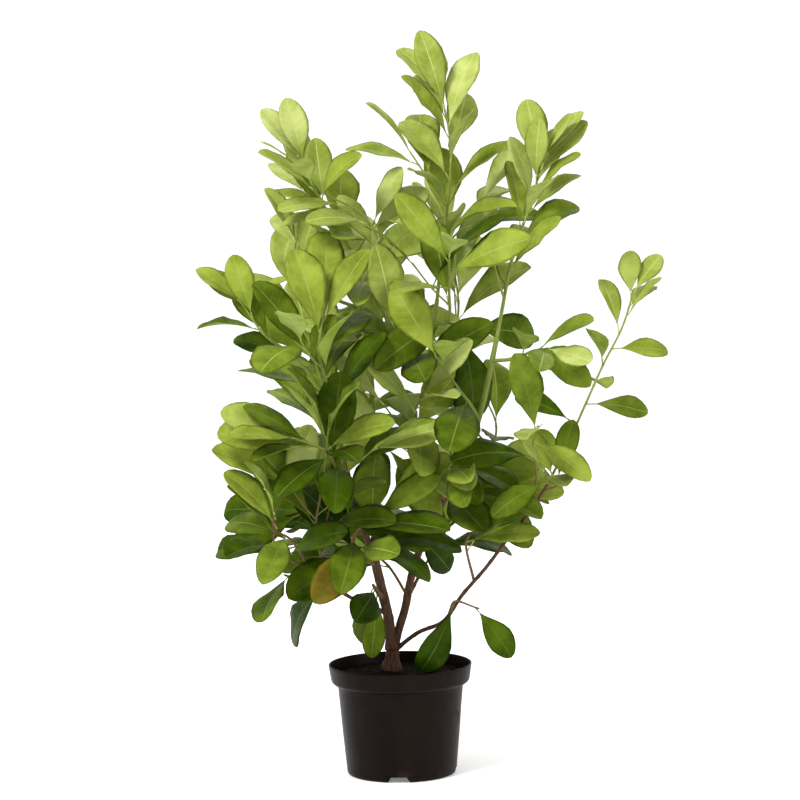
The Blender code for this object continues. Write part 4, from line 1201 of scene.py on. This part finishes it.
def pot_rows():
    """The pot's fine profile of (radius, height): underside, rounded foot, wall, rim band, and inside."""
    foot = arc((BODY_FOOT_RADIUS - FOOT_ROUND, FOOT_ROUND), (FOOT_ROUND, FOOT_ROUND), -90, 0, 7)
    before_slot = (DRAIN_INNER_RADIUS - SLOT_END_LENGTH, 0.0)
    in_slot = (DRAIN_INNER_RADIUS + SLOT_END_LENGTH, 0.0)
    underside = line((0.012, 0.0), (DRAIN_INNER_RADIUS - 0.002, 0.0), 4)
    underside += line(before_slot, in_slot, 5) + line(in_slot, foot[0], 3)
    above_slot = (BODY_FOOT_RADIUS + 0.0002, DRAIN_HEIGHT)
    wall = line(foot[-1], above_slot, 3) + line(above_slot, (BODY_TOP_RADIUS, BAND_FOOT - 0.002), 12)
    wall += [(BODY_TOP_RADIUS + 0.0001, BAND_FOOT - 0.001), (BODY_TOP_RADIUS + 0.0004, BAND_FOOT - 0.0003)]
    step = RIM_BAND_FOOT_RADIUS - BODY_TOP_RADIUS
    lip = arc((BODY_TOP_RADIUS, BAND_FOOT + RIM_BAND_CURVE), (step, RIM_BAND_CURVE), -90, 0, 10)
    rim = line(lip[-1], (RIM_RADIUS, POT_HEIGHT - 0.0016), 5)
    edge = WALL / 2
    rim += arc((RIM_RADIUS - edge, POT_HEIGHT - edge), (edge, edge), 0, 180, 9)
    bend = (RIM_BAND_FOOT_RADIUS - WALL, BAND_FOOT + RIM_BAND_CURVE)
    shoulder = (BODY_TOP_RADIUS + 0.55 * step - WALL, BAND_FOOT + 0.35 * RIM_BAND_CURVE)
    neck = (BODY_TOP_RADIUS - WALL, BAND_FOOT + 0.001)
    corner = (BODY_FOOT_RADIUS - WALL, FLOOR_THICKNESS)
    inside = line(rim[-1], bend, 4) + [bend, shoulder, neck] + line(neck, corner, 3)
    return np.array(underside + foot + wall + lip + rim + inside + [corner, (0.02, FLOOR_THICKNESS)])


def around_z(radius, angle, height):
    """Points at a radius, an angle and a height round the Z axis: (r cos a, r sin a, h)."""
    return np.stack(np.broadcast_arrays(radius * np.cos(angle), radius * np.sin(angle), height), axis=-1)


def slot_ceiling(radius, angle):
    """How high the drain slots reach above the ground at a radius and an angle, 0 beside them.

    In each slot it is the slot's height times two smooth steps: one across each flared side, from
    the width at the ground to the width at the top, and one at its inner end.
    """
    turns = math.radians(FRONT_DRAIN_TURN) + round_turn(DRAIN_COUNT)
    away = np.abs((angle[..., None] - turns + math.pi) % (2 * math.pi) - math.pi).min(axis=-1)
    across = radius * np.sin(np.minimum(away, math.pi / 2))
    sides = smooth_step((DRAIN_FOOT_WIDTH / 2 - across) / (DRAIN_FOOT_WIDTH / 2 - DRAIN_TOP_WIDTH / 2))
    end = smooth_step((radius - DRAIN_INNER_RADIUS) / SLOT_END_LENGTH + 0.5)
    return DRAIN_HEIGHT * sides * end


def make_pot():
    """The pot: its profile turned round Z, its low points lifted to the drain slots' ceiling.

    The wall is not quite even: its radius also carries smooth noise of a fraction of a millimetre.
    """
    rows = pot_rows()
    radius, angle = np.broadcast_arrays(rows[:, :1], round_turn(POT_AROUND))
    level = rows[:, 1:]
    uneven = value_noise(POT_NOISE_SHAPE, POT_SEED, True)(angle / (2 * math.pi), level / POT_HEIGHT)
    uneven = uneven * smooth_step(level / 0.02) * smooth_step(radius / 0.05 - 1)
    height = np.maximum(level, slot_ceiling(radius, angle))
    rings = around_z(radius + POT_UNEVENNESS * uneven, angle, height)
    skin = closed_skin((0, 0, 0), rings, (0, 0, FLOOR_THICKNESS))
    piece = finished_mesh("moulded_pot", skin, [pot_finish()], sharp=50)
    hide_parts("pot")


def make_compost():
    """The compost: a closed disc whose top is a lumpy height field on a polar grid.

    Height = soil line + three layers of smooth noise of the place (x, y), coarse to fine, + a low
    mound round the trunk. The last rows go down the pot's wall and back to the middle.
    """
    edge = RIM_BAND_FOOT_RADIUS - WALL - SOIL_CLEARANCE
    radii = np.linspace(0.0015, edge, SOIL_ROWS)[:, None]
    x, y, height = np.moveaxis(around_z(radii, round_turn(SOIL_AROUND), SOIL_TOP), -1, 0)
    across = x / (2 * edge) + 0.5
    along = y / (2 * edge) + 0.5
    for size, depth, seed in SOIL_LUMPS:
        count = int(2 * edge / size)
        height = height + depth * value_noise((count, count), seed)(across, along)
    trunk = metres(LIMBS[0].route)[0]
    away = (x - trunk[0])**2 + (y - trunk[1])**2
    height = height + SOIL_MOUND * np.exp(-away / SOIL_MOUND_WIDTH**2)
    floor = BAND_FOOT + RIM_BAND_CURVE + 0.0005
    top = np.stack((x, y, height), axis=-1)[::-1]
    under = np.stack((x, y, np.full_like(x, floor)), axis=-1)[[0, SOIL_ROWS // 2, SOIL_ROWS - 1]]
    skin = closed_skin((0, 0, floor), np.concatenate((under, top)), (0, 0, height[0].mean()))
    piece = finished_mesh("compost_top", skin, [compost_finish()])
    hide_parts("root_ball")


def make_floor():
    """A pale floor that runs back, rises in a round bend and goes on as a wall."""
    turn = np.radians(np.linspace(5, 90, 18))
    level = np.linspace(FLOOR_FRONT, FLOOR_BACK, 21)
    wall = np.full(len(WALL_HEIGHTS), FLOOR_BACK + BEND_RADIUS)
    along = np.concatenate((level, FLOOR_BACK + BEND_RADIUS * np.sin(turn), wall))
    rise = np.concatenate((0 * level, BEND_RADIUS - BEND_RADIUS * np.cos(turn), WALL_HEIGHTS))
    x, y = np.meshgrid(np.linspace(-FLOOR_WIDTH, FLOOR_WIDTH, FLOOR_COLUMNS), along)
    points = np.stack((x, y, np.broadcast_to(rise[:, None], x.shape)), axis=-1).reshape(-1, 3)
    row = np.arange(len(along) - 1)[:, None] * FLOOR_COLUMNS + np.arange(FLOOR_COLUMNS - 1)
    behind = row + FLOOR_COLUMNS
    quads = np.stack((row, row + 1, behind + 1, behind), axis=-1).reshape(-1, 4)
    mesh = bpy.data.meshes.new("floor")
    mesh.from_pydata(points.tolist(), [], quads.tolist())
    mesh.shade_smooth()
    floor = in_scene("floor", mesh)
    paper = Finish("paper", 0.9, 0.5)
    paper.colour(FLOOR_WHITE)
    paper.feed(paper.shader.inputs["Emission Color"], (1.0, 1.0, 1.0, 1.0))
    paper.feed(paper.shader.inputs["Emission Strength"], FLOOR_GLOW)
    mesh.materials.append(paper.material)


def make_lights():
    """A pale world, and soft round lamps that look at the crown."""
    world = bpy.data.worlds.new("studio")
    world.use_nodes = True
    background = world.node_tree.nodes["Background"].inputs
    background["Color"].default_value = (1.0, 1.0, 1.0, 1.0)
    background["Strength"].default_value = WORLD_STRENGTH
    bpy.context.scene.world = world
    for name, place, size, power in LAMPS:
        lamp = bpy.data.lights.new(name, "AREA")
        lamp.shape = "DISK"
        lamp.size = size
        lamp.energy = power
        holder = in_scene(name, lamp)
        holder.location = place
        away = np.array(place) - LAMP_TARGET
        lean = math.acos(away[2] / np.linalg.norm(away))
        holder.rotation_euler = (lean, 0, math.atan2(away[1], away[0]) + math.pi / 2)


def make_camera():
    """The photograph's camera: far off, a little above the crown's middle, looking slightly down."""
    lens = bpy.data.cameras.new("camera")
    lens.lens = CAMERA_LENS
    lens.sensor_width = CAMERA_SENSOR
    lens.clip_end = 100
    camera = in_scene("camera", lens)
    pitch = Matrix.Rotation(math.radians(90 - CAMERA_PITCH), 4, "X")
    roll = Matrix.Rotation(math.radians(-CAMERA_ROLL), 4, "Z")
    camera.matrix_world = Matrix.Translation(CAMERA_PLACE) @ (pitch @ roll)
    bpy.context.scene.camera = camera
    bpy.context.scene.view_settings.view_transform = "Standard"


make_camera()
limb_lines, plant_rows = grow_plant()
make_pot()
make_compost()
make_limbs(limb_lines)
make_crown(plant_rows)
make_floor()
make_lights()
